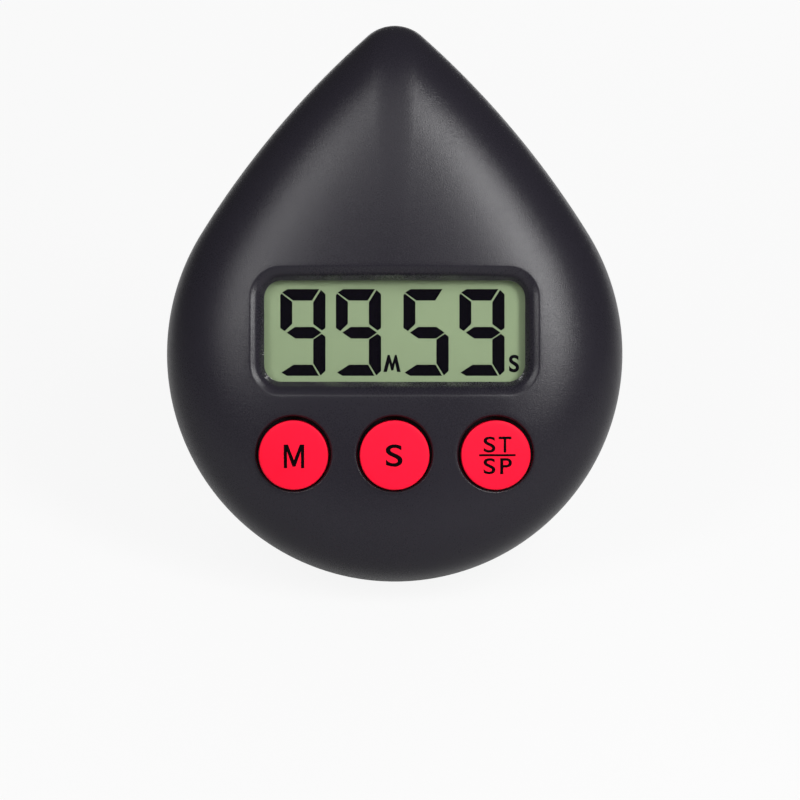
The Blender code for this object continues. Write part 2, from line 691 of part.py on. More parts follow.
def screw(name, x, z, seat, head_radius, head, radius, length):
    """A pan-head screw driven from the back, with a cross in its head."""
    shape = bmesh.new()
    add_round(shape, x, z, head_radius, seat, seat + head, head_radius - HEAD_TAPER, SMALL_SEGMENTS)
    made = solid(name, shape, STEEL)
    shank = bmesh.new()
    add_round(shank, x, z, radius, seat - length, seat + head / 2, None, SMALL_SEGMENTS)
    combine(made, "UNION", solid(f"{name}_shank", shank))
    for turn in (0.0, math.pi / 2):
        slot = bmesh.new()
        cross = 2 * (head_radius - CROSS_MARGIN)
        add_box(slot, (cross, CROSS_DEPTH * 2, CROSS_WIDTH), (x, seat + head, z), turn)
        combine(made, "DIFFERENCE", solid(f"{name}_slot_{round(math.degrees(turn))}", slot))


def rear_case():
    """Rear shell: leg pocket, battery well, magnet seats, sounder ring and tubes for the case screws."""
    levels = [
        *((scale, depth) for scale, depth in reversed(rear_levels(WALL)) if depth > SEAT_GAP),
        (inset(WALL), -LIP_HEIGHT),
        (inset(LIP_SKIN + SEAT_GAP), -LIP_HEIGHT),
        (inset(LIP_SKIN + SEAT_GAP), SEAT_GAP),
        (1.0, SEAT_GAP),
        *rear_levels()[1:],
    ]
    case = solid("rear_case", swept(levels), BLACK)
    mid_wall = solid("rear_mid_wall", swept([(inset(WALL), -FRONT_DEPTH), *rear_levels(WALL / 2)]))

    tray = bmesh.new()
    tray_width = LEG_WIDTH + 2 * (POCKET_GAP + POCKET_WALL)
    tray_size = (tray_width, REAR_DEPTH - POCKET_INNER_Y, TRAY_TOP_Z)
    add_box(tray, tray_size, (0.0, (REAR_DEPTH + POCKET_INNER_Y) / 2, TRAY_TOP_Z / 2))
    well = bmesh.new()
    well_front = WELL_FLOOR_Y - WELL_FLOOR
    add_round(well, 0.0, CELL_Z, WELL_RADIUS + WELL_WALL, well_front, POCKET_INNER_Y + WALL / 2)
    seats = bmesh.new()
    for side in (-1, 1):
        deep = REAR_DEPTH - MAGNET_THICK - BOND_GAP - MAGNET_FLOOR
        add_round(seats, side * MAGNET_X, MAGNET_Z, MAGNET_RADIUS + MAGNET_BOSS, deep, REAR_DEPTH)
    ledge = REAR_DEPTH - WALL - SOUNDER_CHAMBER
    ring_radius = SOUNDER_RADIUS + RUN_GAP + SOUNDER_RING_WALL
    add_round(seats, 0.0, SOUNDER_Z, ring_radius, ledge - SOUNDER_RIM, REAR_DEPTH)
    for x, z in CASE_SCREWS:
        tube = SCREW_HEAD_RADIUS + RUN_GAP + SCREW_TUBE_WALL
        add_round(seats, x, z, tube, SEAT_GAP / 2, REAR_DEPTH, None, SMALL_SEGMENTS)
    for shape, name in ((tray, "leg_tray"), (well, "battery_well"), (seats, "rear_seats")):
        rib = solid(name, shape)
        combine(rib, "INTERSECT", mid_wall)
        combine(case, "UNION", rib)

    pocket = bmesh.new()
    pocket_size = (LEG_WIDTH + 2 * POCKET_GAP, FAR, POCKET_TOP_Z + FAR)
    add_box(pocket, pocket_size, (0.0, POCKET_FLOOR_Y + FAR / 2, (POCKET_TOP_Z - FAR) / 2))
    combine(case, "DIFFERENCE", solid("leg_pocket", pocket))
    sockets = bmesh.new()
    socket = LEG_WIDTH + 2 * (HINGE_STUB + RUN_GAP)
    bmesh.ops.create_cone(
        sockets,
        cap_ends=True,
        segments=SMALL_SEGMENTS,
        radius1=HINGE_STUB_RADIUS + HINGE_GAP,
        radius2=HINGE_STUB_RADIUS + HINGE_GAP,
        depth=socket,
        matrix=Matrix.Translation((0.0, HINGE_Y, HINGE_Z)) @ Matrix.Rotation(math.pi / 2, 4, "Y"),
    )
    combine(case, "DIFFERENCE", solid("hinge_sockets", sockets))

    mouth = bmesh.new()
    add_round(mouth, 0.0, CELL_Z, DOOR_RADIUS + SEAT_GAP, LUG_LOW_Y, POCKET_FLOOR_Y + CUT)
    combine(case, "DIFFERENCE", solid("door_mouth", mouth))
    notches = bmesh.new()
    for turn in lug_turns(DOOR_TURN):
        add_lug(notches, turn, SEAT_GAP, LUG_LOW_Y, POCKET_FLOOR_Y + CUT)
    combine(case, "DIFFERENCE", solid("door_notches", notches))
    track = bmesh.new()
    add_round(track, 0.0, CELL_Z, WELL_RADIUS, LUG_LOW_Y - SEAT_GAP, POCKET_INNER_Y)
    combine(case, "DIFFERENCE", solid("door_lug_track", track))
    hollow = bmesh.new()
    add_round(hollow, 0.0, CELL_Z, CELL_RADIUS + WELL_GAP, WELL_FLOOR_Y, LUG_TOP_Y)
    combine(case, "DIFFERENCE", solid("cell_hollow", hollow))
    slots = bmesh.new()
    contact_room = CONTACT_WIDTH + 2 * SEAT_GAP
    deep = WELL_FLOOR_Y + CELL_THICK / 2 - well_front + 2 * CUT
    slot_y = well_front - CUT + deep / 2
    slot_reach = CELL_RADIUS + CONTACT_THICK + 3 * SEAT_GAP - CONTACT_RISE / 2
    leg_slot = (contact_room, WELL_FLOOR + 2 * CUT, 4 * CONTACT_THICK)
    add_box(slots, leg_slot, (0.0, WELL_FLOOR_Y - WELL_FLOOR / 2, negative_leg_z()))
    add_box(slots, (slot_reach, deep, contact_room), (CONTACT_RISE / 2 + slot_reach / 2, slot_y, CELL_Z))
    combine(case, "DIFFERENCE", solid("contact_slots", slots))

    holes = bmesh.new()
    for side in (-1, 1):
        floor = REAR_DEPTH - MAGNET_THICK - BOND_GAP
        add_round(holes, side * MAGNET_X, MAGNET_Z, MAGNET_RADIUS + RUN_GAP, floor, REAR_DEPTH + CUT)
    chamber = SOUNDER_RADIUS - SOUNDER_LEDGE
    add_round(holes, 0.0, SOUNDER_Z, chamber, ledge - CUT, REAR_DEPTH - WALL)
    for x, z in CASE_SCREWS:
        bore = SCREW_HEAD_RADIUS + RUN_GAP
        add_round(holes, x, z, bore, SCREW_SEAT_Y, REAR_DEPTH + CUT, None, SMALL_SEGMENTS)
    combine(case, "DIFFERENCE", solid("rear_recesses", holes))
    bores = bmesh.new()
    add_round(bores, 0.0, SOUNDER_Z, SOUNDER_RADIUS + RUN_GAP, ledge - SOUNDER_RIM - CUT, ledge)
    for x, z in CASE_SCREWS:
        add_round(bores, x, z, SCREW_RADIUS + RUN_GAP, -CUT, SCREW_SEAT_Y + CUT, None, SMALL_SEGMENTS)
    combine(case, "DIFFERENCE", solid("rear_bores", bores))
    sound = bmesh.new()
    spots = [(0.0, 0.0)] + arc(0.0, 0.0, SOUND_HOLE_PITCH, 0.0, 2 * math.pi, SOUND_HOLES)
    for x, z in spots:
        add_round(sound, x, SOUNDER_Z + z, SOUND_HOLE_RADIUS, ledge, REAR_DEPTH + CUT, None, SMALL_SEGMENTS)
    combine(case, "DIFFERENCE", solid("sound_holes", sound))


def lug_turns(offset):
    """The door's lugs, evenly spaced round it, and turned on by the offset."""
    return [2 * math.pi * i / DOOR_LUGS + offset for i in range(DOOR_LUGS)]


def add_lug(shape, turn, gap, front, back):
    """One lug, or with a gap its notch, that reaches out from under the door's edge."""
    inner = DOOR_HUB_RADIUS / 2
    reach = DOOR_LUG_REACH + gap - inner
    out = Matrix.Rotation(turn, 4, "Y") @ Vector((inner + reach / 2, 0.0, 0.0))
    centre = Vector((0.0, (front + back) / 2, CELL_Z)) + out
    add_box(shape, (reach, back - front, DOOR_LUG_WIDTH + 2 * gap), centre, turn)


def battery_door():
    """Round door in the floor of the leg's pocket: a coin turns it until its lugs meet the notches."""
    outer = POCKET_FLOOR_Y - DOOR_SUNK
    cover = bmesh.new()
    add_round(cover, 0.0, 0.0, DOOR_RADIUS, outer - DOOR_THICK, outer)
    door = solid("battery_door", cover, BLACK, (0.0, 0.0, CELL_Z))
    hub = bmesh.new()
    add_round(hub, 0.0, CELL_Z, DOOR_HUB_RADIUS, LUG_LOW_Y, outer - DOOR_THICK / 2)
    combine(door, "UNION", solid("door_hub", hub))
    lugs = bmesh.new()
    for turn in lug_turns(0.0):
        add_lug(lugs, turn, 0.0, LUG_LOW_Y + RUN_GAP, LUG_TOP_Y)
    combine(door, "UNION", solid("door_lugs", lugs))
    slot = bmesh.new()
    length, width, depth = COIN_SLOT
    add_box(slot, (length, 2 * depth, width), (0.0, outer, CELL_Z))
    combine(door, "DIFFERENCE", solid("coin_slot", slot))


def negative_leg_z():
    """Where the negative contact goes down through the floor of the well."""
    return CELL_Z + CELL_RADIUS - CONTACT_WIDTH / 2


def ribbon(name, points, across):
    """A bent metal strip along the points, as wide as a contact, with its width along the given axis."""
    shape = bmesh.new()
    half = Vector(across) * CONTACT_WIDTH / 2
    rails = [[shape.verts.new(Vector(p) + side * half) for p in points] for side in (-1, 1)]
    for low, high in zip(*(list(zip(rail, rail[1:])) for rail in rails)):
        shape.faces.new((low[0], low[1], high[1], high[0]))
    strip = solid(name, shape, STEEL)
    thick = strip.modifiers.new("thickness", "SOLIDIFY")
    thick.thickness = CONTACT_THICK
    thick.offset = 0.0
    thick.use_even_offset = True


def battery():
    """Coin cell with its positive can to the door, and the two contacts that join it to the board."""
    cell = bmesh.new()
    add_round(cell, 0.0, 0.0, CELL_RADIUS, CELL_FRONT_Y, CELL_BACK_Y)
    rims = [e for e in cell.edges if abs(e.verts[0].co.y - e.verts[1].co.y) < CELL_THICK / 2]
    bmesh.ops.bevel(
        cell, geom=rims, offset=CELL_EDGE, segments=1, profile=0.5, affect="EDGES", material=-1
    )
    solid("coin_cell", cell, STEEL, (0.0, 0.0, CELL_Z))

    foot = BOARD_BACK_Y + SEAT_GAP
    under = CELL_FRONT_Y - SEAT_GAP - CONTACT_THICK / 2
    leg_z = negative_leg_z()
    tongue = [(0.0, under, leg_z - CONTACT_RISE), (0.0, under, leg_z), (0.0, foot, leg_z)]
    ribbon("negative_contact", tongue, (1.0, 0.0, 0.0))
    beside = CELL_RADIUS + SEAT_GAP + CONTACT_THICK / 2
    side = [(beside, CELL_FRONT_Y + CELL_THICK / 2, CELL_Z), (beside, foot, CELL_Z)]
    ribbon("positive_contact", side, (0.0, 0.0, 1.0))


def magnets():
    """Two disc magnets let into the back, just proud of it."""
    for name, side in (("left", -1), ("right", 1)):
        disc = bmesh.new()
        back = REAR_DEPTH + MAGNET_PROUD
        add_round(disc, 0.0, 0.0, MAGNET_RADIUS, back - MAGNET_THICK, back)
        solid(f"{name}_magnet", disc, MAGNET, (side * MAGNET_X, 0.0, MAGNET_Z))


def sounder():
    """Brass plate with a ceramic disc on its ring behind the tip, and its two wires to the board."""
    back = REAR_DEPTH - WALL - SOUNDER_CHAMBER - BOND_GAP
    front = back - SOUNDER_PLATE
    plate = bmesh.new()
    add_round(plate, 0.0, 0.0, SOUNDER_RADIUS, front, back)
    solid("sounder_plate", plate, BRASS, (0.0, 0.0, SOUNDER_Z))
    disc = bmesh.new()
    ceramic_front = front - BOND_GAP - SOUNDER_CERAMIC
    add_round(disc, 0.0, 0.0, SOUNDER_CERAMIC_RADIUS, ceramic_front, front - BOND_GAP)
    solid("sounder_ceramic", disc, CERAMIC, (0.0, 0.0, SOUNDER_Z))

    start = BOARD_BACK_Y + SEAT_GAP
    stop = ceramic_front - SEAT_GAP
    rise = SOUNDER_Z - WIRE_Z
    for (name, surface), side in zip(WIRE_COLOURS.items(), (-1, 1)):
        line = bpy.data.curves.new(f"{name}_wire", "CURVE")
        line.dimensions = "3D"
        line.bevel_depth = WIRE_RADIUS
        line.bevel_resolution = 2
        line.use_fill_caps = True
        spline = line.splines.new("POLY")
        steps = 12
        spline.points.add(steps)
        for i, point in enumerate(spline.points):
            along = i / steps
            eased = along * along * (3 - 2 * along)
            point.co = (side * WIRE_X, start + (stop - start) * along, WIRE_Z + rise * eased, 1.0)
        add_object(f"{name}_wire", line, surface)


def stand_leg(lean):
    """Fold-out leg, open: stub pins at its top, and a foot cut level with the table."""
    half = LEG_THICK / 2
    overlong = LEG_LENGTH + LEG_THICK
    leg = bmesh.new()
    box = add_box(leg, (LEG_WIDTH, LEG_THICK, overlong), (0.0, 0.0, -overlong / 2))
    floor_normal = (0.0, math.sin(LEG_SPLAY), math.cos(LEG_SPLAY))
    whole = [*leg.verts, *leg.edges, *leg.faces]
    cut = bmesh.ops.bisect_plane(
        leg, geom=whole, plane_co=(0.0, 0.0, -LEG_LENGTH), plane_no=floor_normal, clear_inner=True
    )
    rim = [item for item in cut["geom_cut"] if isinstance(item, bmesh.types.BMEdge)]
    bmesh.ops.edgeloop_fill(leg, edges=rim)
    toe = [
        e
        for e in leg.edges
        if all(v.co.z < -LEG_LENGTH / 2 for v in e.verts) and abs(e.verts[0].co.y - e.verts[1].co.y) > half
    ]
    bmesh.ops.bevel(
        leg, geom=toe, offset=LEG_TOE_CORNER, segments=4, profile=0.5, affect="EDGES", material=-1
    )
    made = solid("stand_leg", leg, BLACK, (0.0, HINGE_Y, HINGE_Z))
    for name, radius, length in (
        ("leg_knuckle", half, LEG_WIDTH),
        ("leg_stubs", HINGE_STUB_RADIUS, LEG_WIDTH + 2 * HINGE_STUB),
    ):
        pin = bmesh.new()
        bmesh.ops.create_cone(
            pin,
            cap_ends=True,
            segments=SMALL_SEGMENTS,
            radius1=radius,
            radius2=radius,
            depth=length,
            matrix=Matrix.Rotation(math.pi / 2, 4, "Y"),
        )
        helper = solid(name, pin)
        helper.parent = made
        combine(made, "UNION", helper)
    made.rotation_euler.x = lean + LEG_SPLAY


def lowest(lean):
    """How low the casings reach below the parting line's lowest point, once leant back."""
    bottom = [(depth, ROUND_RADIUS * (1 - scale)) for scale, depth in crown_levels() + rear_levels()]
    return min(z * math.cos(lean) - y * math.sin(lean) for y, z in bottom)


def lean_angle():
    """The lean at which the round end and the open leg's foot stand on the same table."""
    low, high = 0.0, math.pi / 3
    for _ in range(60):
        lean = (low + high) / 2
        hinge = HINGE_Z * math.cos(lean) - HINGE_Y * math.sin(lean)
        if hinge - lowest(lean) > LEG_LENGTH * math.cos(LEG_SPLAY):
            low = lean
        else:
            high = lean
    return lean


def stand_on_table(lean):
    """Leans the timer back and brings the middle of its footprint to the origin."""
    timer.rotation_euler.x = -lean
    bpy.context.view_layer.update()
    graph = bpy.context.evaluated_depsgraph_get()
    points = []
    for obj in parts.objects:
        if obj.type != "EMPTY":
            shown = obj.evaluated_get(graph)
            points += [shown.matrix_world @ vert.co for vert in shown.to_mesh().vertices]
            shown.to_mesh_clear()
    low = [min(p[axis] for p in points) for axis in range(3)]
    high = [max(p[axis] for p in points) for axis in range(3)]
    timer.location = (-(low[0] + high[0]) / 2, -(low[1] + high[1]) / 2, -low[2])
    bpy.context.view_layer.update()


front_case()
display(display_window())
circuit_board()
key_mat(keys())
rear_case()
battery_door()
battery()
magnets()
sounder()
for number, (spot_x, spot_z) in enumerate(CASE_SCREWS, 1):
    seat_y = SCREW_SEAT_Y + BOND_GAP
    screw(
        f"case_screw_{number}",
        spot_x,
        spot_z,
        seat_y,
        SCREW_HEAD_RADIUS,
        SCREW_HEAD,
        SCREW_RADIUS,
        SCREW_LENGTH,
    )
for number, (spot_x, spot_z) in enumerate(BOARD_SCREWS, 1):
    seat_y = BOARD_BACK_Y + BOND_GAP
    screw(
        f"board_screw_{number}",
        spot_x,
        spot_z,
        seat_y,
        BOARD_SCREW_HEAD_RADIUS,
        BOARD_SCREW_HEAD,
        BOARD_SCREW_RADIUS,
        BOARD_SCREW_LENGTH,
    )
table_lean = lean_angle()
stand_leg(table_lean)
stand_on_table(table_lean)
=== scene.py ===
import json
import math

import bmesh
import bpy
from mathutils import Matrix, Vector
from mathutils.bvhtree import BVHTree


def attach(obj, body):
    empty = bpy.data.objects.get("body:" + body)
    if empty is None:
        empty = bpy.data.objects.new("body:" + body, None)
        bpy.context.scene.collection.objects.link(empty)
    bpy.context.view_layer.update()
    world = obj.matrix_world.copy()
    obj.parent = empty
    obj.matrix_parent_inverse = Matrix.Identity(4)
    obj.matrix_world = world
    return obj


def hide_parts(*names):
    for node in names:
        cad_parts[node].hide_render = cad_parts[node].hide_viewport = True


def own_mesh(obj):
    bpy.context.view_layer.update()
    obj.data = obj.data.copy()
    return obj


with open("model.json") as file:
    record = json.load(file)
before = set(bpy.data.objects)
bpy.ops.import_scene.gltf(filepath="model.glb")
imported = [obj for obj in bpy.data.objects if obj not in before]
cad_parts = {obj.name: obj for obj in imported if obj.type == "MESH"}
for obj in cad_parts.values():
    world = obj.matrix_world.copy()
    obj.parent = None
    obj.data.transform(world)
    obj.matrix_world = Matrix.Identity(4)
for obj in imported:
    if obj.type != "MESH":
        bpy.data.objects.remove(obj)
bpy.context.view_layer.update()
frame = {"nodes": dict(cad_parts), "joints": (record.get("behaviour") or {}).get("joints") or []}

# Studio: a sweep of white paper, on which the timer leans back on its leg, and a camera square to its
# face. Soft boxes on both sides draw a sheen down the flanks, one above evens out the face, and one behind
# lights the back without showing in its gloss.
HINGE_DEPTH = 0.00975
HINGE_RISE = 0.0440
FACE_MIDDLE = Vector((0.0, 0.0, 0.040))
CAMERA_DISTANCE = 0.60
VIEW_SPAN = 0.1183
VIEW_MIDDLE = Vector((0.00078, -CAMERA_DISTANCE, 0.0268))
SWEEP_RADIUS = 1.40
SWEEP_CURVE = 0.25
SWEEP_GLOW = 0.90
MIRRORED_GLOW = 0.2
AIR_LIGHT = 0.08
WHITE = (1.0, 1.0, 1.0, 1.0)
PAPER_DARK = (0.50, 0.50, 0.50, 1.0)
PAPER_PALE = (0.52, 0.52, 0.52, 1.0)

joints = {joint["name"]: joint for joint in frame["joints"]}
leg_hinge = Vector(joints["leg_fold"]["pos_m"])
across = Vector((1.0, 0.0, 0.0))
inward = Vector(joints["second_press"]["axis"]).normalized()
upward = across.cross(inward)
timer = Matrix((across, inward, upward)).transposed().to_4x4()
timer.translation = leg_hinge - inward * HINGE_DEPTH - upward * HINGE_RISE


def facing(spot, towards, up):
    """The matrix of something at a spot that looks along a direction, with its top up."""
    back = -towards.normalized()
    right = up.cross(back).normalized()
    stance = Matrix((right, back.cross(right), back)).transposed().to_4x4()
    stance.translation = spot
    return stance


def link_object(name, data):
    """A new object in the scene, at the origin."""
    made = bpy.data.objects.new(name, data)
    bpy.context.scene.collection.objects.link(made)
    return made


def add_lamp(name, aside, above, distance, size, watts):
    """A soft box aimed at the middle of the face, at angles in degrees to its right and above it."""
    turn, lift = math.radians(aside), math.radians(above)
    direction = across * math.sin(turn) * math.cos(lift) + upward * math.sin(lift)
    direction -= inward * math.cos(turn) * math.cos(lift)
    lamp = bpy.data.lights.new(name, "AREA")
    lamp.shape = "RECTANGLE"
    lamp.size, lamp.size_y = size
    lamp.energy = watts
    made = link_object(name, lamp)
    made.matrix_world = facing(timer @ FACE_MIDDLE + direction * distance, -direction, upward)
    return made


def face_out(shape):
    """Turns all faces of a shape outwards."""
    bmesh.ops.recalc_face_normals(shape, faces=shape.faces[:])


class Shade:
    """A socket of a material's nodes. Arithmetic on it adds Math nodes, and node() adds any other node."""

    def __init__(self, tree, socket=None):
        self.tree = tree
        self.socket = socket

    def node(self, kind, settings=None, inputs=None, output=0):
        """Adds a node, sets it up, fills or links its inputs, and gives one of its outputs."""
        made = self.tree.nodes.new(f"ShaderNode{kind}")
        for name, value in (settings or {}).items():
            setattr(made, name, value)
        for name, value in (inputs or {}).items():
            if isinstance(value, Shade):
                self.tree.links.new(value.socket, made.inputs[name])
            else:
                made.inputs[name].default_value = value
        return Shade(self.tree, made.outputs[output]) if len(made.outputs) else None

    def maths(self, operation, *values):
        return self.node("Math", {"operation": operation}, dict(enumerate(values)))

    def mix(self, factor, first, second):
        """A colour between two colours."""
        return self.node("Mix", {"data_type": "RGBA"}, {0: factor, 6: first, 7: second}, 2)

    def noise(self, scale, detail):
        """Noise on these coordinates."""
        return self.node("TexNoise", None, {"Vector": self, "Scale": scale, "Detail": detail})

    def bump(self, strength, distance):
        """A normal that follows this height."""
        return self.node("Bump", None, {"Strength": strength, "Distance": distance, "Height": self})

    def output(self, shader):
        """Sends a shader to the material's output."""
        self.node("OutputMaterial", None, {"Surface": shader})

    def principled(self, inputs):
        """Ends the material in a Principled shader."""
        self.output(self.node("BsdfPrincipled", None, inputs))

    def __add__(self, other):
        return self.maths("ADD", self, other)

    __radd__ = __add__

    def __sub__(self, other):
        return self.maths("SUBTRACT", self, other)

    def __rsub__(self, other):
        return self.maths("SUBTRACT", other, self)

    def __mul__(self, other):
        return self.maths("MULTIPLY", self, other)

    __rmul__ = __mul__


def new_material(name):
    """A new material, and the Object coordinates that its nodes start from."""
    made = bpy.data.materials.new(name)
    made.use_nodes = True
    made.node_tree.nodes.clear()
    return made, Shade(made.node_tree).node("TexCoord", output="Object")


def sweep_material():
    """White paper: the camera sees it glow nearly white, reflections less so, with the shadow left in."""
    surface, where = new_material("white_paper_sweep")
    camera_ray, glossy_ray, clear_ray = (
        where.node("LightPath", output=f"Is {kind} Ray") for kind in ("Camera", "Glossy", "Transmission")
    )
    mirrored = where.maths("MAXIMUM", glossy_ray, clear_ray)
    seen = where.maths("MAXIMUM", camera_ray, mirrored * MIRRORED_GLOW)
    paper = where.mix(where.noise(scale=900.0, detail=2.0), PAPER_DARK, PAPER_PALE)
    matt = where.node("BsdfDiffuse", None, {"Color": paper})
    glow = where.node("Emission", None, {"Color": WHITE, "Strength": 1.0})
    where.output(where.node("MixShader", None, {0: seen * SWEEP_GLOW, 1: matt, 2: glow}))
    return surface


sweep = bmesh.new()
middle = sweep.verts.new((0.0, 0.0, 0.0))
edge = sweep.verts.new((SWEEP_RADIUS, 0.0, 0.0))
sweep.edges.new((middle, edge))
bend = (SWEEP_RADIUS, 0.0, SWEEP_CURVE)
bmesh.ops.spin(sweep, geom=[edge], cent=bend, axis=(0, -1, 0), angle=math.pi / 2, steps=12)
profile = sweep.verts[:] + sweep.edges[:]
bmesh.ops.spin(
    sweep, geom=profile, cent=(0, 0, 0), axis=(0, 0, 1), angle=2 * math.pi, steps=64, use_merge=True
)
bmesh.ops.remove_doubles(sweep, verts=sweep.verts[:], dist=1e-5)
face_out(sweep)
sweep_mesh = bpy.data.meshes.new("paper_sweep")
sweep.to_mesh(sweep_mesh)
sweep.free()
sweep_mesh.shade_smooth()
sweep_mesh.materials.append(sweep_material())
link_object("paper_sweep", sweep_mesh)

camera_data = bpy.data.cameras.new("camera")
camera_data.lens = camera_data.sensor_width * CAMERA_DISTANCE / VIEW_SPAN
camera_data.clip_start = 0.01
camera = link_object("camera", camera_data)
camera.matrix_world = facing(timer @ VIEW_MIDDLE, inward, upward)
bpy.context.scene.camera = camera
bpy.context.scene.view_settings.view_transform = "Standard"

world = bpy.data.worlds.new("studio_air")
world.use_nodes = True
air = world.node_tree.nodes["Background"].inputs
air["Color"].default_value = WHITE
air["Strength"].default_value = AIR_LIGHT
bpy.context.scene.world = world

add_lamp("right_soft_box", aside=32, above=17, distance=0.50, size=(0.12, 0.36), watts=2.60)
add_lamp("left_soft_box", aside=-31, above=19, distance=0.50, size=(0.12, 0.36), watts=1.20)
add_lamp("top_soft_box", aside=0, above=24, distance=0.62, size=(0.40, 0.34), watts=0.65)
back_lamp = add_lamp("back_soft_box", aside=165, above=32, distance=0.60, size=(0.60, 0.16), watts=3.4)
back_lamp.visible_glossy = False

# Front casing: the drop-shaped face, one black plastic moulding with a fine spark-eroded matt texture.
# Each cut across its dome is a smaller copy of the drop's outline. The display opening and the key holes go
# through it, and three screws from the back hold it.
ROUND = 0.0336
DROP_HEIGHT = 0.0820
TIP_ROUND = 0.0060
FLANK_ROUND = 0.1311
FRONT_DEPTH = 0.0140
WALL = 0.0020
LIP_SKIN = 0.0008
LIP_STEP = 0.0018
RIM_ROUND = 0.00015
CROWN_POWER = 3.0
CROWN_END = math.radians(89.2)
CROWN_CROWDING = 1.5
OUTLINE_STEPS = (90, 34, 14)
VIEW_WIDTH = 0.0379
VIEW_HEIGHT = 0.0147
VIEW_ROUND = 0.0025
VIEW_RISE = 0.0368
VIEW_FLARE = 0.0020
EDGE_CUT = 0.0007
KEY_ROW = 0.01882
KEY_PITCH = 0.01465
KEY_ASIDE = {"minute": -KEY_PITCH, "second": 0.0, "start": KEY_PITCH}
KEY_HOLE = 0.00543
KEY_HANG = 0.00025
TOOL_FRONT = -0.016
TOOL_BACK = -0.004
AHEAD = -0.05
OFF_SEAM = 1.3e-6
CASING_BLACK = (0.0128, 0.0115, 0.0162)
to_front = Matrix.Rotation(math.pi / 2, 4, "X")


def inset(distance):
    """The scale that brings the round end's outline in by a distance."""
    return 1 - distance / ROUND


def round_off(shape, geom, radius, steps, affect="EDGES"):
    """Rounds edges or corners."""
    bmesh.ops.bevel(
        shape, geom=geom, offset=radius, segments=steps, profile=0.5, affect=affect, material=-1
    )


def only_verts(geom):
    """The vertices among the elements that an operator made."""
    return [item for item in geom if isinstance(item, bmesh.types.BMVert)]


def extend(shape, edges):
    """Extrudes a loop of edges, and returns the new loop's vertices and edges."""
    grown = bmesh.ops.extrude_edge_only(shape, edges=edges)["geom"]
    ring = only_verts(grown)
    inside = set(ring)
    return ring, [e for e in grown if isinstance(e, bmesh.types.BMEdge) and inside.issuperset(e.verts)]


def drop_ring(shape, round_steps, flank_steps, tip_steps):
    """The drop's outline: its lowest point spun round the centre of each arc in turn, then mirrored."""
    tip = DROP_HEIGHT - TIP_ROUND - ROUND
    near, far = FLANK_ROUND - ROUND, FLANK_ROUND - TIP_ROUND
    up = (near**2 - far**2 + tip**2) / (2 * tip)
    aside = math.sqrt(near**2 - up**2)
    first, last = math.atan2(-up, aside), math.atan2(tip - up, aside)
    point = shape.verts.new((0.0, 0.0, 0.0))
    for centre, angle, steps in (
        ((0.0, 0.0, ROUND), first + math.pi / 2, round_steps),
        ((-aside, 0.0, ROUND + up), last - first, flank_steps),
        ((0.0, 0.0, ROUND + tip), math.pi / 2 - last, tip_steps),
    ):
        spun = bmesh.ops.spin(shape, geom=[point], cent=centre, axis=(0, -1, 0), angle=angle, steps=steps)
        point = spun["geom_last"][0]
    bmesh.ops.mirror(shape, geom=shape.verts[:] + shape.edges[:], axis="X", merge_dist=1e-6)
    return shape.edges[:]


def draw_out(shape, edges, levels, depth=0.0):
    """Extrudes the outline through (scale, depth) levels and closes the last one."""
    about = Matrix.Translation((0.0, 0.0, -ROUND))
    scale = 1.0
    for next_scale, next_depth in levels:
        ring, edges = extend(shape, edges)
        ratio = next_scale / scale
        bmesh.ops.scale(shape, verts=ring, vec=(ratio, 1.0, ratio), space=about)
        bmesh.ops.translate(shape, verts=ring, vec=(0.0, next_depth - depth, 0.0))
        scale, depth = next_scale, next_depth
    bmesh.ops.edgeloop_fill(shape, edges=edges)
    face_out(shape)


def crown(steps, gap=0.0):
    """(scale, depth) levels of the dome from its rim to its crown, closer together near the rim."""
    turns = [CROWN_END * (i / steps) ** CROWN_CROWDING for i in range(1, steps + 1)]
    bow = 2 / CROWN_POWER
    return [(inset(gap) * math.cos(t) ** bow, (gap - FRONT_DEPTH) * math.sin(t) ** bow) for t in turns]


def place(name, shape, surface, body, slot, *nodes, crease=32):
    """Turns a shape in the timer's own axes into a piece on its body, in place of its CAD nodes."""
    shape.transform(timer)
    mesh = bpy.data.meshes.new(name)
    shape.to_mesh(mesh)
    shape.free()
    mesh.shade_smooth()
    mesh.set_sharp_from_angle(angle=math.radians(crease))
    mesh.materials.append(surface)
    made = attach(link_object(name, mesh), body)
    if nodes:
        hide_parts(*nodes)
    return made


def carve(shape, *steps):
    """The shape after each (operation, tool) step: tools are joined to it, cut out of it or trim it."""
    target = bpy.data.meshes.new("carved")
    shape.to_mesh(target)
    shape.free()
    solid = link_object("carved", target)
    spent = [solid]
    for operation, tool in steps:
        data = bpy.data.meshes.new("tool")
        face_out(tool)
        tool.to_mesh(data)
        tool.free()
        spent.append(link_object("tool", data))
        cut = solid.modifiers.new("cut", "BOOLEAN")
        cut.operation = operation
        cut.solver = "EXACT"
        cut.use_self = True
        cut.object = spent[-1]
    graph = bpy.context.evaluated_depsgraph_get()
    result = bmesh.new()
    result.from_mesh(solid.evaluated_get(graph).data)
    for helper in spent:
        bpy.data.objects.remove(helper)
    return result


def rod(shape, radius, length, stand, segments):
    """A closed cylinder, with its middle and its direction given by a matrix."""
    bmesh.ops.create_cone(
        shape, segments=segments, radius1=radius, radius2=radius, depth=length, cap_ends=True, matrix=stand
    )


def disc(shape, x, z, radius, front, back, segments=96):
    """A closed cylinder along the depth axis."""
    rod(shape, radius, back - front, Matrix.Translation((x, (front + back) / 2, z)) @ to_front, segments)


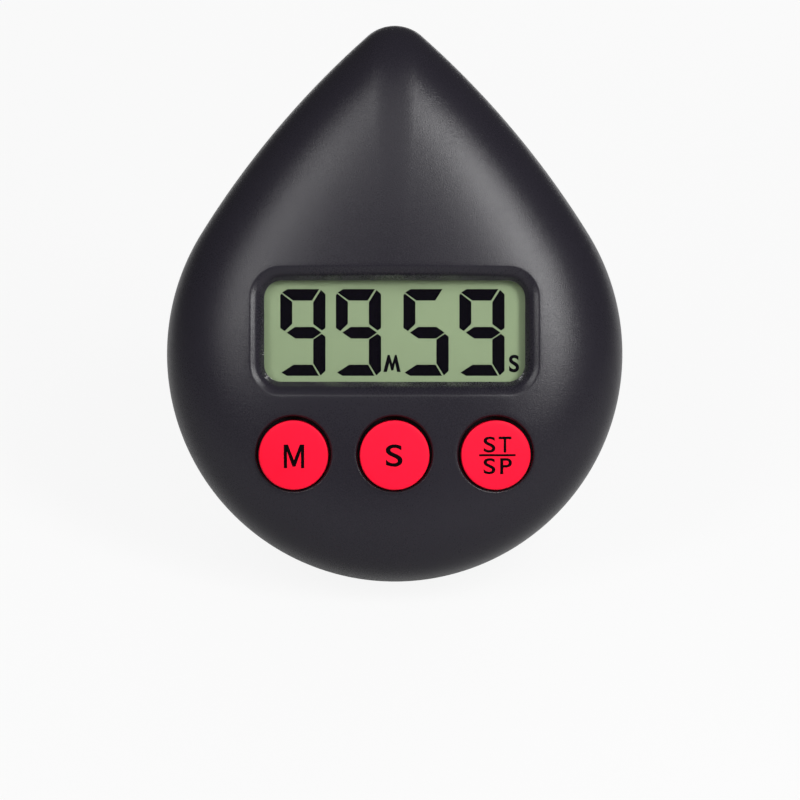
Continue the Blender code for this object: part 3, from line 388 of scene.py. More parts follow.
def rounded_face(shape, width, height, corner, depth, middle):
    """One flat face with rounded corners, facing the front."""
    corners = [
        shape.verts.new((x * width / 2, depth, middle + z * height / 2))
        for x, z in ((-1, -1), (1, -1), (1, 1), (-1, 1))
    ]
    shape.faces.new(corners)
    round_off(shape, corners, corner, steps=12, affect="VERTICES")


def view_face(shape, border, depth):
    """A flat face like the display opening, with a border round it."""
    width, height = VIEW_WIDTH + 2 * border, VIEW_HEIGHT + 2 * border
    rounded_face(shape, width, height, VIEW_ROUND + border, depth, VIEW_RISE)


def thicken(shape, depth):
    """Draws flat faces backwards into a closed solid."""
    drawn = bmesh.ops.extrude_face_region(shape, geom=shape.faces[:], use_keep_orig=True)["geom"]
    bmesh.ops.translate(shape, verts=only_verts(drawn), vec=(0.0, depth, 0.0))
    face_out(shape)


def tint(colour, factor):
    """A darker or paler copy of a colour, for a colour socket."""
    return (*(min(1.0, part * factor) for part in colour), 1.0)


def moulded_plastic(name, colour, roughness, grain, size, specular=0.5):
    """Matt moulded plastic: an even pitted grain, faint cloudy sheen and a little handling polish."""
    surface, where = new_material(name)
    pits = where.noise(scale=size, detail=3.0)
    fine = where.node("TexVoronoi", None, {"Vector": where, "Scale": size * 1.6})
    cloud = where.noise(scale=55.0, detail=4.0)
    where.principled(
        {
            "Base Color": where.mix(pits * 0.6 + cloud * 0.4, tint(colour, 0.75), tint(colour, 1.35)),
            "Roughness": roughness + (cloud - 0.5) * 0.10 + (pits - 0.5) * 0.10,
            "Specular IOR Level": specular,
            "Normal": (pits * 0.7 + fine * 0.5).bump(strength=grain, distance=0.00012),
        }
    )
    return surface


black_plastic = moulded_plastic(
    "black_spark_eroded_plastic", CASING_BLACK, roughness=0.28, grain=0.17, size=5200.0, specular=0.24
)

dome = bmesh.new()
draw_out(dome, drop_ring(dome, *OUTLINE_STEPS), crown(steps=56))
dome_surface = BVHTree.FromBMesh(dome)
rim_edges = [e for e in dome.edges if all(abs(v.co.y) < 1e-9 for v in e.verts)]
inner_levels = [level for level in crown(steps=14, gap=WALL) if level[1] < -LIP_STEP]
lip_levels = [(inset(LIP_SKIN), 0.0), (inset(LIP_SKIN), -LIP_STEP), (inset(WALL), -LIP_STEP)]
draw_out(dome, rim_edges, lip_levels + inner_levels)
round_off(dome, rim_edges, RIM_ROUND, steps=2)
face_out(dome)


def face_depth(x, z):
    """How deep the domed face lies at a point of the front view, a hair off the mesh's own seams."""
    beside = Vector((x + OFF_SEAM, AHEAD, z + OFF_SEAM))
    return dome_surface.ray_cast(beside, Vector((0.0, 1.0, 0.0)))[0].y


window_tool = bmesh.new()
view_face(window_tool, VIEW_FLARE + EDGE_CUT, TOOL_FRONT)
thicken(window_tool, TOOL_BACK - TOOL_FRONT)
key_tool = bmesh.new()
for x in KEY_ASIDE.values():
    disc(key_tool, x, KEY_ROW + KEY_HANG, KEY_HOLE + EDGE_CUT, TOOL_FRONT, TOOL_BACK)
dome = carve(dome, ("DIFFERENCE", window_tool), ("DIFFERENCE", key_tool))
place("front_dome", dome, black_plastic, "case", "casing", "front_case")

# Display surround and key rims: the same moulding, where the face breaks at a crisp edge into a shallow
# shoulder and a steep wall down to the window, and where each key hole has a rounded lip and, deep inside,
# a ledge that keeps the gap round its key dark.
SURROUND_FLANGE = 0.0014
SURROUND_STEP = 0.0006
SURROUND_EDGE = 0.0002
SHOULDER = 0.0012
SHOULDER_DROP = 0.00066
SHOULDER_ROUND = 0.0006
VIEW_RIM = -0.0109
VIEW_LIP = 0.0006
RIM_EDGE = 0.00004
LONG_SIDE = 0.003
SIDE_CUTS = 48
KEY_FLANGE = 0.0013
KEY_FLANGE_STEP = 0.0005
KEY_HOLE_EDGE = 0.0004
KEY_LEDGE = -0.00925
KEY_LEDGE_RADIUS = 0.00513
SKIN = 0.0004
SKIN_LIFT = 0.00001


def inset_faces(shape, face, distances):
    """Insets a face again and again, and returns the loops of vertices round it, outermost first."""
    shape.normal_update()
    rims = [
        bmesh.ops.inset_individual(shape, faces=[face], thickness=distance, use_even_offset=True)["faces"]
        for distance in distances
    ]
    bands = [{v for f in rim for v in f.verts} for rim in rims] + [set(face.verts)]
    return [bands[0] - bands[1]] + [one & other for one, other in zip(bands, bands[1:])]


def loop_edges(shape, loop):
    """The edges that join the vertices of one loop."""
    inside = set(loop)
    return [e for e in shape.edges if inside.issuperset(e.verts)]


def round_face(shape, x, z, radius, segments):
    """One flat round face, facing the front."""
    stand = Matrix.Translation((x, 0.0, z)) @ to_front
    bmesh.ops.create_circle(shape, cap_ends=True, segments=segments, radius=radius, matrix=stand)
    shape.faces.ensure_lookup_table()
    return shape.faces[0]


def lay_on_face(verts, lift):
    """Moves vertices to the domed face, and lifts them off it by a distance."""
    for vert in verts:
        vert.co.y = face_depth(vert.co.x, vert.co.z) - lift


def skin_over(shape):
    """Gives an open surface that faces the front its thickness."""
    face_out(shape)
    shape.faces.ensure_lookup_table()
    if shape.faces[0].normal.y > 0:
        bmesh.ops.reverse_faces(shape, faces=shape.faces[:])
    bmesh.ops.solidify(shape, geom=shape.faces[:], thickness=SKIN)


surround = bmesh.new()
view_face(surround, VIEW_FLARE + SURROUND_FLANGE, 0.0)
long_sides = [e for e in surround.edges if e.calc_length() > LONG_SIDE]
bmesh.ops.subdivide_edges(surround, edges=long_sides, cuts=SIDE_CUTS)
surround.faces.ensure_lookup_table()
pane = surround.faces[0]
bands = [SURROUND_STEP, SURROUND_FLANGE - SURROUND_STEP, SHOULDER, VIEW_FLARE - SHOULDER]
loops = inset_faces(surround, pane, bands)
for loop in loops[:3]:
    lay_on_face(loop, SKIN_LIFT)
lay_on_face(loops[3], -SHOULDER_DROP)
for vert in loops[4]:
    vert.co.y = VIEW_RIM
lip = extend(surround, loop_edges(surround, loops[4]))[0]
bmesh.ops.translate(surround, verts=lip, vec=(0.0, VIEW_LIP, 0.0))
roundings = (
    (loop_edges(surround, loops[4]), RIM_EDGE, 2),
    (loop_edges(surround, loops[3]), SHOULDER_ROUND, 6),
    (loop_edges(surround, loops[2]), SURROUND_EDGE, 4),
)
bmesh.ops.delete(surround, geom=[pane], context="FACES_ONLY")
for edges, radius, steps in roundings:
    round_off(surround, edges, radius, steps)
skin_over(surround)
place("display_surround", surround, black_plastic, "case", "casing")

for name, x in KEY_ASIDE.items():
    lip = bmesh.new()
    pane = round_face(lip, x, KEY_ROW + KEY_HANG, KEY_HOLE + KEY_FLANGE, segments=96)
    loops = inset_faces(lip, pane, [KEY_FLANGE_STEP, KEY_FLANGE - KEY_FLANGE_STEP])
    for loop in loops:
        lay_on_face(loop, SKIN_LIFT)
    soft_edges = loop_edges(lip, loops[2])
    wall, wall_foot = extend(lip, soft_edges)
    for vert in wall:
        vert.co.y = KEY_LEDGE
    middle = Vector((x, KEY_LEDGE, KEY_ROW))
    for vert in extend(lip, wall_foot)[0]:
        vert.co = middle + (vert.co - middle).normalized() * KEY_LEDGE_RADIUS
    bmesh.ops.delete(lip, geom=[pane], context="FACES_ONLY")
    round_off(lip, soft_edges, KEY_HOLE_EDGE, steps=5)
    skin_over(lip)
    place(f"{name}_key_rim", lip, black_plastic, "case", "casing")

# Display window: a clear acrylic plug, cast with a flange that is bonded behind the opening. Its polished
# face sits just under the rim of the surround.
WINDOW_FRONT = -0.0107
FLANGE_FRONT = -0.0102
FLANGE_BACK = -0.0096
PLUG_GAP = 0.00015
WINDOW_FLANGE = 0.0012
WINDOW_EDGE = 0.00005
ACRYLIC_CLEAR = (0.985, 0.99, 0.985, 1.0)
ACRYLIC_SHINE = 0.6


def clear_acrylic():
    """Clear polished acrylic: it lets light straight through, with a faint haze and its surface shine."""
    surface, where = new_material("clear_polished_acrylic")
    haze = where.noise(scale=260.0, detail=3.0)
    clear = where.node("BsdfTransparent", None, {"Color": ACRYLIC_CLEAR})
    shine = where.node("BsdfGlossy", None, {"Color": WHITE, "Roughness": 0.06 + haze * 0.04})
    edge = where.node("Fresnel", None, {"IOR": 1.49})
    where.output(where.node("MixShader", None, {0: edge * ACRYLIC_SHINE, 1: clear, 2: shine}))
    return surface


def front_face(shape):
    """The foremost face of a shape."""
    return min(shape.faces, key=lambda face: face.calc_center_median().y)


pane = bmesh.new()
view_face(pane, WINDOW_FLANGE, FLANGE_FRONT)
thicken(pane, FLANGE_BACK - FLANGE_FRONT)
front = front_face(pane)
bmesh.ops.inset_region(pane, faces=[front], thickness=WINDOW_FLANGE + PLUG_GAP, use_even_offset=True)
plug = bmesh.ops.extrude_face_region(pane, geom=[front])["geom"]
bmesh.ops.translate(pane, verts=only_verts(plug), vec=(0.0, WINDOW_FRONT - FLANGE_FRONT, 0.0))
bmesh.ops.delete(pane, geom=[front], context="FACES")
round_off(pane, loop_edges(pane, front_face(pane).verts), WINDOW_EDGE, steps=2)
face_out(pane)
place("display_lens", pane, clear_acrylic(), "case", "window", "display_window", crease=10)

# Liquid crystal display: two glass plates with a grey-green reflective film behind them, clamped in the
# holder behind the window. The dark segments of the digits, and the small letters for minutes and seconds,
# lie in the cell.
GLASS_FRONT = -0.0093
GLASS_BACK = -0.0071
GLASS_BORDER = 0.00175
GLASS_LEDGE = 0.0024
GLASS_CORNER = 0.0004
FILM_DARK = (0.236, 0.297, 0.176, 1.0)
FILM_PALE = (0.286, 0.355, 0.220, 1.0)
CRYSTAL_DARK = (0.0012, 0.0006, 0.0028)
DIGITS = "9959"
DIGIT_LEFTS = (-0.01665, -0.00855, 0.00128, 0.00942)
DIGIT_FOOT = 0.03032
INK_LIFT = 0.00002
SEGMENTS_MM = {
    "top": ((0.24, 12.13), (1.07, 12.63), (5.69, 12.63), (4.63, 10.96), (1.86, 10.96)),
    "upper_left": ((0.00, 11.76), (0.21, 11.96), (1.74, 10.77), (1.74, 7.56), (0.65, 6.51), (0.00, 6.95)),
    "upper_right": ((5.92, 12.51), (6.58, 11.88), (6.58, 6.95), (6.06, 6.60), (4.80, 7.52), (4.80, 10.72)),
    "middle": ((0.92, 6.29), (2.15, 7.12), (4.82, 7.12), (6.00, 6.29), (4.76, 5.43), (2.19, 5.43)),
    "lower_right": ((6.03, 6.12), (6.58, 5.70), (6.58, 0.71), (5.88, 0.06), (4.80, 1.80), (4.80, 5.30)),
    "bottom": ((0.15, 0.47), (1.92, 1.62), (4.69, 1.62), (5.63, 0.00), (0.98, 0.00)),
}
LIT = {
    "9": tuple(SEGMENTS_MM),
    "5": ("top", "upper_left", "middle", "lower_right", "bottom"),
}
SPLAYED_M = (
    (0.0, 0.0), (0.25, 1.0), (0.37, 1.0), (0.52, 0.48), (0.67, 1.0), (0.77, 1.0), (1.0, 0.0),
    (0.79, 0.0), (0.68, 0.53), (0.58, 0.09), (0.45, 0.09), (0.35, 0.53), (0.21, 0.0),
)
MINUTE_MARK = (SPLAYED_M, -0.00166, 0.03088, 0.00254, 0.00249)
SECOND_MARK = ("S", 0.01664, 0.03082, 0.00148, 0.00257)
MARK_WEIGHT = 0.028


def display_film():
    """Grey-green display film: fine mottled reflector behind the glass, and the glass's own soft shine."""
    surface, where = new_material("grey_green_display_film")
    mottle = where.noise(scale=9000.0, detail=2.0)
    cloud = where.noise(scale=120.0, detail=2.0)
    where.principled(
        {
            "Base Color": where.mix(mottle * 0.6 + cloud * 0.4, FILM_DARK, FILM_PALE),
            "Roughness": 0.35 + mottle * 0.15,
            "Specular IOR Level": 0.05,
        }
    )
    return surface


def dark_ink(name, colour, specular):
    """Thin dark ink or dye with a slightly uneven laydown."""
    surface, where = new_material(name)
    laydown = where.noise(scale=4000.0, detail=2.0)
    where.principled(
        {
            "Base Color": where.mix(laydown, tint(colour, 0.7), tint(colour, 1.3)),
            "Roughness": 0.5 + laydown * 0.1,
            "Specular IOR Level": specular,
        }
    )
    return surface


def lettering(text, weight):
    """A flat letter, typed or from its corners, one unit wide and tall, with its foot at the origin."""
    flat = bmesh.new()
    if isinstance(text, tuple):
        flat.faces.new([flat.verts.new((x, y, 0.0)) for x, y in text])
        return flat
    words = bpy.data.curves.new(text, "FONT")
    words.body = text
    words.offset = weight
    writer = link_object(text, words)
    graph = bpy.context.evaluated_depsgraph_get()
    flat.from_mesh(writer.evaluated_get(graph).to_mesh())
    bpy.data.objects.remove(writer)
    low = [min(v.co[axis] for v in flat.verts) for axis in (0, 1)]
    high = [max(v.co[axis] for v in flat.verts) for axis in (0, 1)]
    bmesh.ops.translate(flat, verts=flat.verts, vec=(-low[0], -low[1], 0.0))
    bmesh.ops.scale(flat, verts=flat.verts, vec=(1 / (high[0] - low[0]), 1 / (high[1] - low[1]), 1.0))
    return flat


def add_letter(shape, weight, depth, text, left, foot, width, height):
    """One letter in the front view, its lower left corner at (left, foot)."""
    letter = lettering(text, weight)
    letter.transform(Matrix.Diagonal((width, height, 1.0, 1.0)))
    letter.transform(Matrix.Translation((left, depth, foot)) @ to_front)
    spare = bpy.data.meshes.new("letter")
    letter.to_mesh(spare)
    letter.free()
    shape.from_mesh(spare)
    bpy.data.meshes.remove(spare)


panel = bmesh.new()
panel_low = VIEW_RISE - VIEW_HEIGHT / 2 - GLASS_LEDGE
panel_high = VIEW_RISE + VIEW_HEIGHT / 2 + GLASS_BORDER
panel_width, panel_height = VIEW_WIDTH + 2 * GLASS_BORDER, panel_high - panel_low
rounded_face(panel, panel_width, panel_height, GLASS_CORNER, GLASS_FRONT, (panel_high + panel_low) / 2)
thicken(panel, GLASS_BACK - GLASS_FRONT)
place("display_panel", panel, display_film(), "case", "display", "display_glass")

segments = bmesh.new()
ink_depth = GLASS_FRONT - INK_LIFT
for digit, left in zip(DIGITS, DIGIT_LEFTS):
    for name in LIT[digit]:
        corners = [
            segments.verts.new((left + x / 1000, ink_depth, DIGIT_FOOT + z / 1000))
            for x, z in SEGMENTS_MM[name]
        ]
        segments.faces.new(corners)
for mark in (MINUTE_MARK, SECOND_MARK):
    add_letter(segments, MARK_WEIGHT, ink_depth, *mark)
face_out(segments)
thicken(segments, INK_LIFT / 2)
crystal_dark = dark_ink("liquid_crystal_dark", CRYSTAL_DARK, specular=0.0)
place("display_digits", segments, crystal_dark, "case", "display")

# Keys: three satin red plastic caps, each with a flange that stops it under its hole and a short stem on
# the rubber dome. Their tops follow the face, and the legends are printed on them in black.
KEY_RADIUS = 0.00503
KEY_PROUD = 0.0009
KEY_ROUNDING = 0.00022
KEY_RINGS = [0.0008] * 5
KEY_FLANGE_FRONT = -0.00845
KEY_FLANGE_BACK = -0.00765
KEY_FLANGE_REACH = 0.0008
KEY_STEM_RADIUS = 0.0026
KEY_STEM_BACK = -0.00745
KEY_RED = (0.90, 0.004, 0.028)
LEGEND_BLACK = (0.002, 0.001, 0.0015)
LEGEND_LIFT = 0.000015
LEGEND_THICK = 0.9 * LEGEND_LIFT
LEGEND_WEIGHT = 0.012
LEGEND_FACET = 0.0006
UPRIGHT_M = (
    (0.0, 0.0), (0.0, 1.0), (0.21, 1.0), (0.5, 0.33), (0.79, 1.0), (1.0, 1.0), (1.0, 0.0),
    (0.84, 0.0), (0.84, 0.71), (0.575, 0.07), (0.425, 0.07), (0.16, 0.71), (0.16, 0.0),
)
BAR = ((0.0, 0.0), (1.0, 0.0), (1.0, 1.0), (0.0, 1.0))
LEGENDS = {
    "minute": ((UPRIGHT_M, -0.00138, -0.00188, 0.00297, 0.00342),),
    "second": (("S", -0.00128, -0.00165, 0.00242, 0.00322),),
    "start": (
        ("S", -0.00180, 0.00038, 0.00172, 0.00232),
        ("T", 0.00037, 0.00038, 0.00186, 0.00232),
        ("S", -0.00180, -0.00275, 0.00172, 0.00232),
        ("P", 0.00062, -0.00275, 0.00170, 0.00232),
        (BAR, -0.00243, -0.00016, 0.00528, 0.00032),
    ),
}

red_plastic = moulded_plastic(
    "red_satin_plastic", KEY_RED, roughness=0.50, grain=0.06, size=3800.0, specular=0.12
)
black_print = dark_ink("black_pad_print", LEGEND_BLACK, specular=0.02)
for name, x in KEY_ASIDE.items():
    cap = bmesh.new()
    top = round_face(cap, x, KEY_ROW, KEY_RADIUS, segments=112)
    rings = inset_faces(cap, top, KEY_RINGS)
    bmesh.ops.poke(cap, faces=[top])
    side = loop_edges(cap, rings[0])
    lay_on_face(cap.verts, KEY_PROUD)
    about = Matrix.Translation((-x, 0.0, -KEY_ROW))
    for depth, scale in (
        (KEY_FLANGE_FRONT, 1.0),
        (KEY_FLANGE_FRONT, (KEY_RADIUS + KEY_FLANGE_REACH) / KEY_RADIUS),
        (KEY_FLANGE_BACK, 1.0),
        (KEY_FLANGE_BACK, KEY_STEM_RADIUS / (KEY_RADIUS + KEY_FLANGE_REACH)),
        (KEY_STEM_BACK, 1.0),
    ):
        ring, side = extend(cap, side)
        bmesh.ops.scale(cap, verts=ring, vec=(scale, 1.0, scale), space=about)
        for vert in ring:
            vert.co.y = depth
    bmesh.ops.edgeloop_fill(cap, edges=side)
    round_off(cap, loop_edges(cap, rings[0]), KEY_ROUNDING, steps=4)
    face_out(cap)
    place(f"{name}_cap", cap, red_plastic, f"{name}_button", "key", f"{name}_key")

    legend = bmesh.new()
    for text, left, rise, width, height in LEGENDS[name]:
        add_letter(legend, LEGEND_WEIGHT, 0.0, text, x + left, KEY_ROW + rise, width, height)
    bmesh.ops.triangulate(legend, faces=legend.faces[:])
    long_edges = [e for e in legend.edges if e.calc_length() > LEGEND_FACET]
    bmesh.ops.subdivide_edges(legend, edges=long_edges, cuts=2)
    lay_on_face(legend.verts, KEY_PROUD + LEGEND_LIFT)
    for face in legend.faces:
        face.normal_update()
        if face.normal.y > 0:
            face.normal_flip()
    bmesh.ops.solidify(legend, geom=legend.faces[:], thickness=LEGEND_THICK)
    place(f"{name}_legend", legend, black_print, f"{name}_button", "key")

# Parts inside: a white plastic holder presses the display and its striped contact rubber on the circuit
# board, a green laminate that carries the chip under a drop of black epoxy and the timing crystal in its
# drawn can. Four screws hold the board.
HOLDER_WHITE = (0.75, 0.75, 0.72)
EPOXY_BLACK = (0.015, 0.015, 0.016)
CAN_GREY = (0.62, 0.62, 0.60)
RUBBER_DARK = (0.020, 0.020, 0.022, 1.0)
RUBBER_PALE = (0.55, 0.55, 0.58, 1.0)
MASK_DARK = (0.018, 0.130, 0.045, 1.0)
MASK_PALE = (0.030, 0.170, 0.060, 1.0)
TRACK_GREEN = (0.060, 0.260, 0.090, 1.0)
TRACK_HALF = 0.10


def dress(surface, *nodes):
    """Gives CAD nodes that show as they are a finished surface."""
    for node in nodes:
        for socket in frame["nodes"][node].material_slots:
            socket.material = surface


def plated_metal(name, colour, roughness, brush):
    """Plated metal: fine lines from drawing or turning, with a little cloudy tarnish between them."""
    surface, where = new_material(name)
    lines = where.node("Mapping", None, {"Vector": where, "Scale": brush}).noise(scale=1.0, detail=3.0)
    cloud = where.noise(scale=420.0, detail=3.0)
    where.principled(
        {
            "Base Color": where.mix(cloud, tint(colour, 0.82), tint(colour, 1.12)),
            "Metallic": 1.0,
            "Roughness": roughness + (lines - 0.5) * 0.16 + (cloud - 0.5) * 0.10,
            "Normal": lines.bump(strength=0.15, distance=0.00002),
        }
    )
    return surface


def striped_rubber():
    """Contact rubber: thin dark conducting layers between pale insulating ones, along its length."""
    surface, where = new_material("striped_contact_rubber")
    stripes = {"Vector": where, "Scale": 900.0, "Distortion": 0.2}
    layers = where.node("TexWave", {"bands_direction": "X"}, stripes, 1)
    tone = where.mix(layers, RUBBER_DARK, RUBBER_PALE)
    where.principled({"Base Color": tone, "Roughness": 0.75 - layers * 0.1})
    return surface


def solder_mask():
    """Green solder mask over copper tracks, which stand up a little and show paler."""
    surface, where = new_material("green_solder_mask")
    runs = where.node("TexVoronoi", {"feature": "DISTANCE_TO_EDGE"}, {"Vector": where, "Scale": 420.0})
    weave = where.noise(scale=3000.0, detail=2.0)
    track = where.maths("LESS_THAN", runs, TRACK_HALF)
    where.principled(
        {
            "Base Color": where.mix(track, where.mix(weave, MASK_DARK, MASK_PALE), TRACK_GREEN),
            "Roughness": 0.34 + weave * 0.12,
            "Normal": (track + weave * 0.2).bump(strength=0.3, distance=0.00004),
        }
    )
    return surface


white_plastic = moulded_plastic(
    "white_moulded_holder", HOLDER_WHITE, roughness=0.5, grain=0.10, size=2600.0
)
epoxy = moulded_plastic("black_potting_epoxy", EPOXY_BLACK, roughness=0.28, grain=0.05, size=900.0)
crystal_can = plated_metal("drawn_crystal_can", CAN_GREY, roughness=0.30, brush=(900.0, 900.0, 9000.0))
dress(white_plastic, "display_holder")
dress(striped_rubber(), "contact_strip")
dress(solder_mask(), "circuit_board")
dress(epoxy, "chip_epoxy")
dress(crystal_can, "timing_crystal")

# Key mat: one pressing of milky silicone rubber on the board, a thin sheet with a hollow dome under each
# key. A dome carries a carbon pill, gives way under its key and springs it back, so each one is a piece of
# its own, with a mesh of its own.
MAT_WHITE = (0.70, 0.71, 0.70)
CARBON_BLACK = (0.020, 0.020, 0.020)
MAT_LENGTH = 0.0400
MAT_HEIGHT = 0.0099
MAT_ROUND = 0.0020
MAT_THICK = 0.0007
MAT_TOP = -0.00715
MAT_BACK = -0.0047
DOME_TOP = 0.0030
DOME_FOOT = 0.0044
DOME_WALL = 0.0006


def turned(shape, x, z, profile, steps=64):
    """A round closed body: a profile of (radius, depth) points spun about its own axis."""
    points = [shape.verts.new((x + radius, depth, z)) for radius, depth in profile]
    outline = points + [shape.edges.new(pair) for pair in zip(points, points[1:])]
    bmesh.ops.spin(
        shape, geom=outline, cent=(x, 0, z), axis=(0, 1, 0), angle=2 * math.pi, steps=steps, use_merge=True
    )
    bmesh.ops.remove_doubles(shape, verts=shape.verts[:], dist=1e-7)
    face_out(shape)


silicone = moulded_plastic(
    "milky_silicone", MAT_WHITE, roughness=0.6, grain=0.08, size=1800.0, specular=0.35
)
carbon = moulded_plastic(
    "carbon_rubber", CARBON_BLACK, roughness=0.8, grain=0.20, size=4000.0, specular=0.2
)
dress(carbon, *(f"{name}_pill" for name in KEY_ASIDE))
sheet = bmesh.new()
rounded_face(sheet, MAT_LENGTH, MAT_HEIGHT, MAT_ROUND, MAT_BACK - MAT_THICK, KEY_ROW)
thicken(sheet, MAT_THICK)
holes = bmesh.new()
for x in KEY_ASIDE.values():
    front, back = MAT_BACK - 2 * MAT_THICK, MAT_BACK + MAT_THICK
    disc(holes, x, KEY_ROW, DOME_FOOT - DOME_WALL / 4, front, back, segments=64)
sheet = carve(sheet, ("DIFFERENCE", holes))
place("key_mat_sheet", sheet, silicone, "case", "silicone", "key_mat")
dome_profile = [
    (0.0, MAT_TOP),
    (DOME_TOP, MAT_TOP),
    (DOME_FOOT, MAT_BACK - MAT_THICK / 2),
    (DOME_FOOT, MAT_BACK),
    (DOME_FOOT - DOME_WALL / 2, MAT_BACK),
    (DOME_TOP - DOME_WALL / 2, MAT_TOP + DOME_WALL),
    (0.0, MAT_TOP + DOME_WALL),
]
for name, x in KEY_ASIDE.items():
    spring = bmesh.new()
    turned(spring, x, KEY_ROW, dome_profile)
    dome_piece = place(f"{name}_mat_dome", spring, silicone, "case", "silicone")
    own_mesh(dome_piece)

# Rear casing: the other black moulding, with a lip that slips inside the front casing's rim. A pocket for
# the leg, the well for the coin cell, seats for two magnets, sound holes and screw holes are moulded in it.
REAR_DEPTH = 0.0110
REAR_POWER = 2.4
REAR_EDGE = 0.0070
PARTING_GAP = 0.0003
PARTING_ROUND = 0.0002
REAR_LIP = 0.0011
REAR_LIP_RISE = 0.0015
MID_WALL_STEPS = (60, 24, 10)
POCKET_HALF = 0.0154
POCKET_FLOOR = 0.0082
POCKET_INNER = 0.0062
POCKET_TOP = 0.04565
TRAY_HALF = 0.0180
TRAY_TOP = 0.04825
EDGE_BREAK = 0.0003
HINGE_BORE = 0.0010
HINGE_REACH = 0.0170
CELL_RISE = 0.0250
CELL_ROOM = 0.0104
WELL_ROUND = 0.01364
WELL_WALL = 0.0012
WELL_FLOOR = 0.0006
WELL_BASE = 0.0010
LUG_LOW = 0.0050
LUG_TOP = 0.0059
LUG_INNER = 0.0054
LUG_REACH = 0.0130
LUG_WIDTH = 0.0050
LUG_SPARE = 0.0003
LUG_TURNS = [2 * math.pi / 3 * lug for lug in range(3)]
DOOR_MOUTH = 0.0121
DOOR_TURN = math.radians(45.0)
MOUTH_FLARE = 0.0008
MOUTH_TOP = 0.00885
CONTACT_ROOM = 0.0046
CONTACT_DROP = 0.0020
NEGATIVE_LEG = 0.0330
NEGATIVE_HALF = 0.0006
POSITIVE_INNER = 0.0055
POSITIVE_OUTER = 0.0112
POSITIVE_RISE = 0.0026
MAGNET_ASIDE = 0.0148
MAGNET_RISE = 0.0525
MAGNET_SOCKET = 0.0042
MAGNET_FLOOR = 0.0089
MAGNET_WALL = 0.0008
MAGNET_BASE = 0.0012
SCREW_SPOTS = ((-0.0260, 0.0245), (0.0260, 0.0245), (0.0, 0.0725))
SCREW_SEAT = 0.0040
SCREW_BORE = 0.0012
SCREW_COUNTERBORE = 0.0023
SCREW_TUBE = 0.0033
SOUNDER_RISE = 0.05805
SOUNDER_RING = 0.0103
SOUNDER_ROOM = 0.0092
SOUNDER_LEDGE = 0.0075
SOUNDER_LIP = 0.0009
SOUNDER_SEAT = 0.0016
SOUNDER_CLEAR = 0.0019
SOUND_HOLE = 0.0008
SOUND_PITCH = 0.0036
SOUND_TURNS = [math.pi / 3 * hole for hole in range(6)]
BEYOND = 0.0010


def rear_section(steps, gap=0.0):
    """(scale, depth) levels of the rear casing from its rim to the edge of its flat back."""
    flat = inset(REAR_EDGE)
    reach = inset(gap) - flat
    bow = 2 / REAR_POWER
    turns = [math.pi / 2 * i / steps for i in range(1, steps + 1)]
    return [(flat + reach * math.cos(t) ** bow, (REAR_DEPTH - gap) * math.sin(t) ** bow) for t in turns]


def block(shape, low, high, turn=0.0, about=(0.0, 0.0)):
    """A box between two corners, turned round the depth axis through a point of the front view."""
    size = [b - a for a, b in zip(low, high)]
    centre = Vector([(a + b) / 2 for a, b in zip(low, high)])
    spin = Matrix.Translation((about[0], 0.0, about[1])) @ Matrix.Rotation(turn, 4, "Y")
    stand = spin @ Matrix.Translation(centre) @ Matrix.Diagonal((*size, 1.0))
    return bmesh.ops.create_cube(shape, size=1.0, matrix=stand)["verts"]


def add_lug(shape, turn, spare, front, back):
    """One of the door's lugs, or with some to spare its notch."""
    half = LUG_WIDTH / 2 + spare
    block(shape, (LUG_INNER, front, -half), (LUG_REACH + spare, back, half), turn, (0.0, CELL_RISE))


def open_bore(shape, x, z, radius, front, steps):
    """A bore from the back, with its mouth broken by a small chamfer."""
    outside = REAR_DEPTH + BEYOND
    mouth = [(radius, REAR_DEPTH - EDGE_BREAK), (radius + EDGE_BREAK + BEYOND, outside), (0.0, outside)]
    turned(shape, x, z, [(0.0, front), (radius, front), *mouth], steps)


rear = bmesh.new()
ring = drop_ring(rear, *OUTLINE_STEPS)
bmesh.ops.translate(rear, verts=rear.verts[:], vec=(0.0, PARTING_GAP, 0.0))
outer_levels = [level for level in rear_section(steps=30) if level[1] > 2 * PARTING_GAP]
draw_out(rear, ring, outer_levels, PARTING_GAP)
lip_levels = [
    (inset(REAR_LIP), PARTING_GAP),
    (inset(REAR_LIP), -REAR_LIP_RISE),
    (inset(WALL), -REAR_LIP_RISE),
    (inset(WALL), PARTING_GAP),
]
draw_out(rear, ring, lip_levels + rear_section(steps=12, gap=WALL), PARTING_GAP)
round_off(rear, ring, PARTING_ROUND, steps=2)
face_out(rear)

mid_wall = bmesh.new()
ring = drop_ring(mid_wall, *MID_WALL_STEPS)
draw_out(mid_wall, ring, rear_section(steps=16, gap=WALL / 2))
bmesh.ops.edgeloop_fill(mid_wall, edges=ring)

ribs = bmesh.new()
block(ribs, (-TRAY_HALF, POCKET_INNER, 0.0), (TRAY_HALF, REAR_DEPTH, TRAY_TOP))
disc(ribs, 0.0, CELL_RISE, WELL_ROUND + WELL_WALL, WELL_FLOOR - WELL_BASE, POCKET_INNER + WALL / 2)
for x in (-MAGNET_ASIDE, MAGNET_ASIDE):
    disc(ribs, x, MAGNET_RISE, MAGNET_SOCKET + MAGNET_WALL, MAGNET_FLOOR - MAGNET_BASE, REAR_DEPTH)
disc(ribs, 0.0, SOUNDER_RISE, SOUNDER_RING, SOUNDER_LEDGE - SOUNDER_LIP, REAR_DEPTH)
for x, z in SCREW_SPOTS:
    disc(ribs, x, z, SCREW_TUBE, PARTING_GAP / 2, REAR_DEPTH, segments=48)

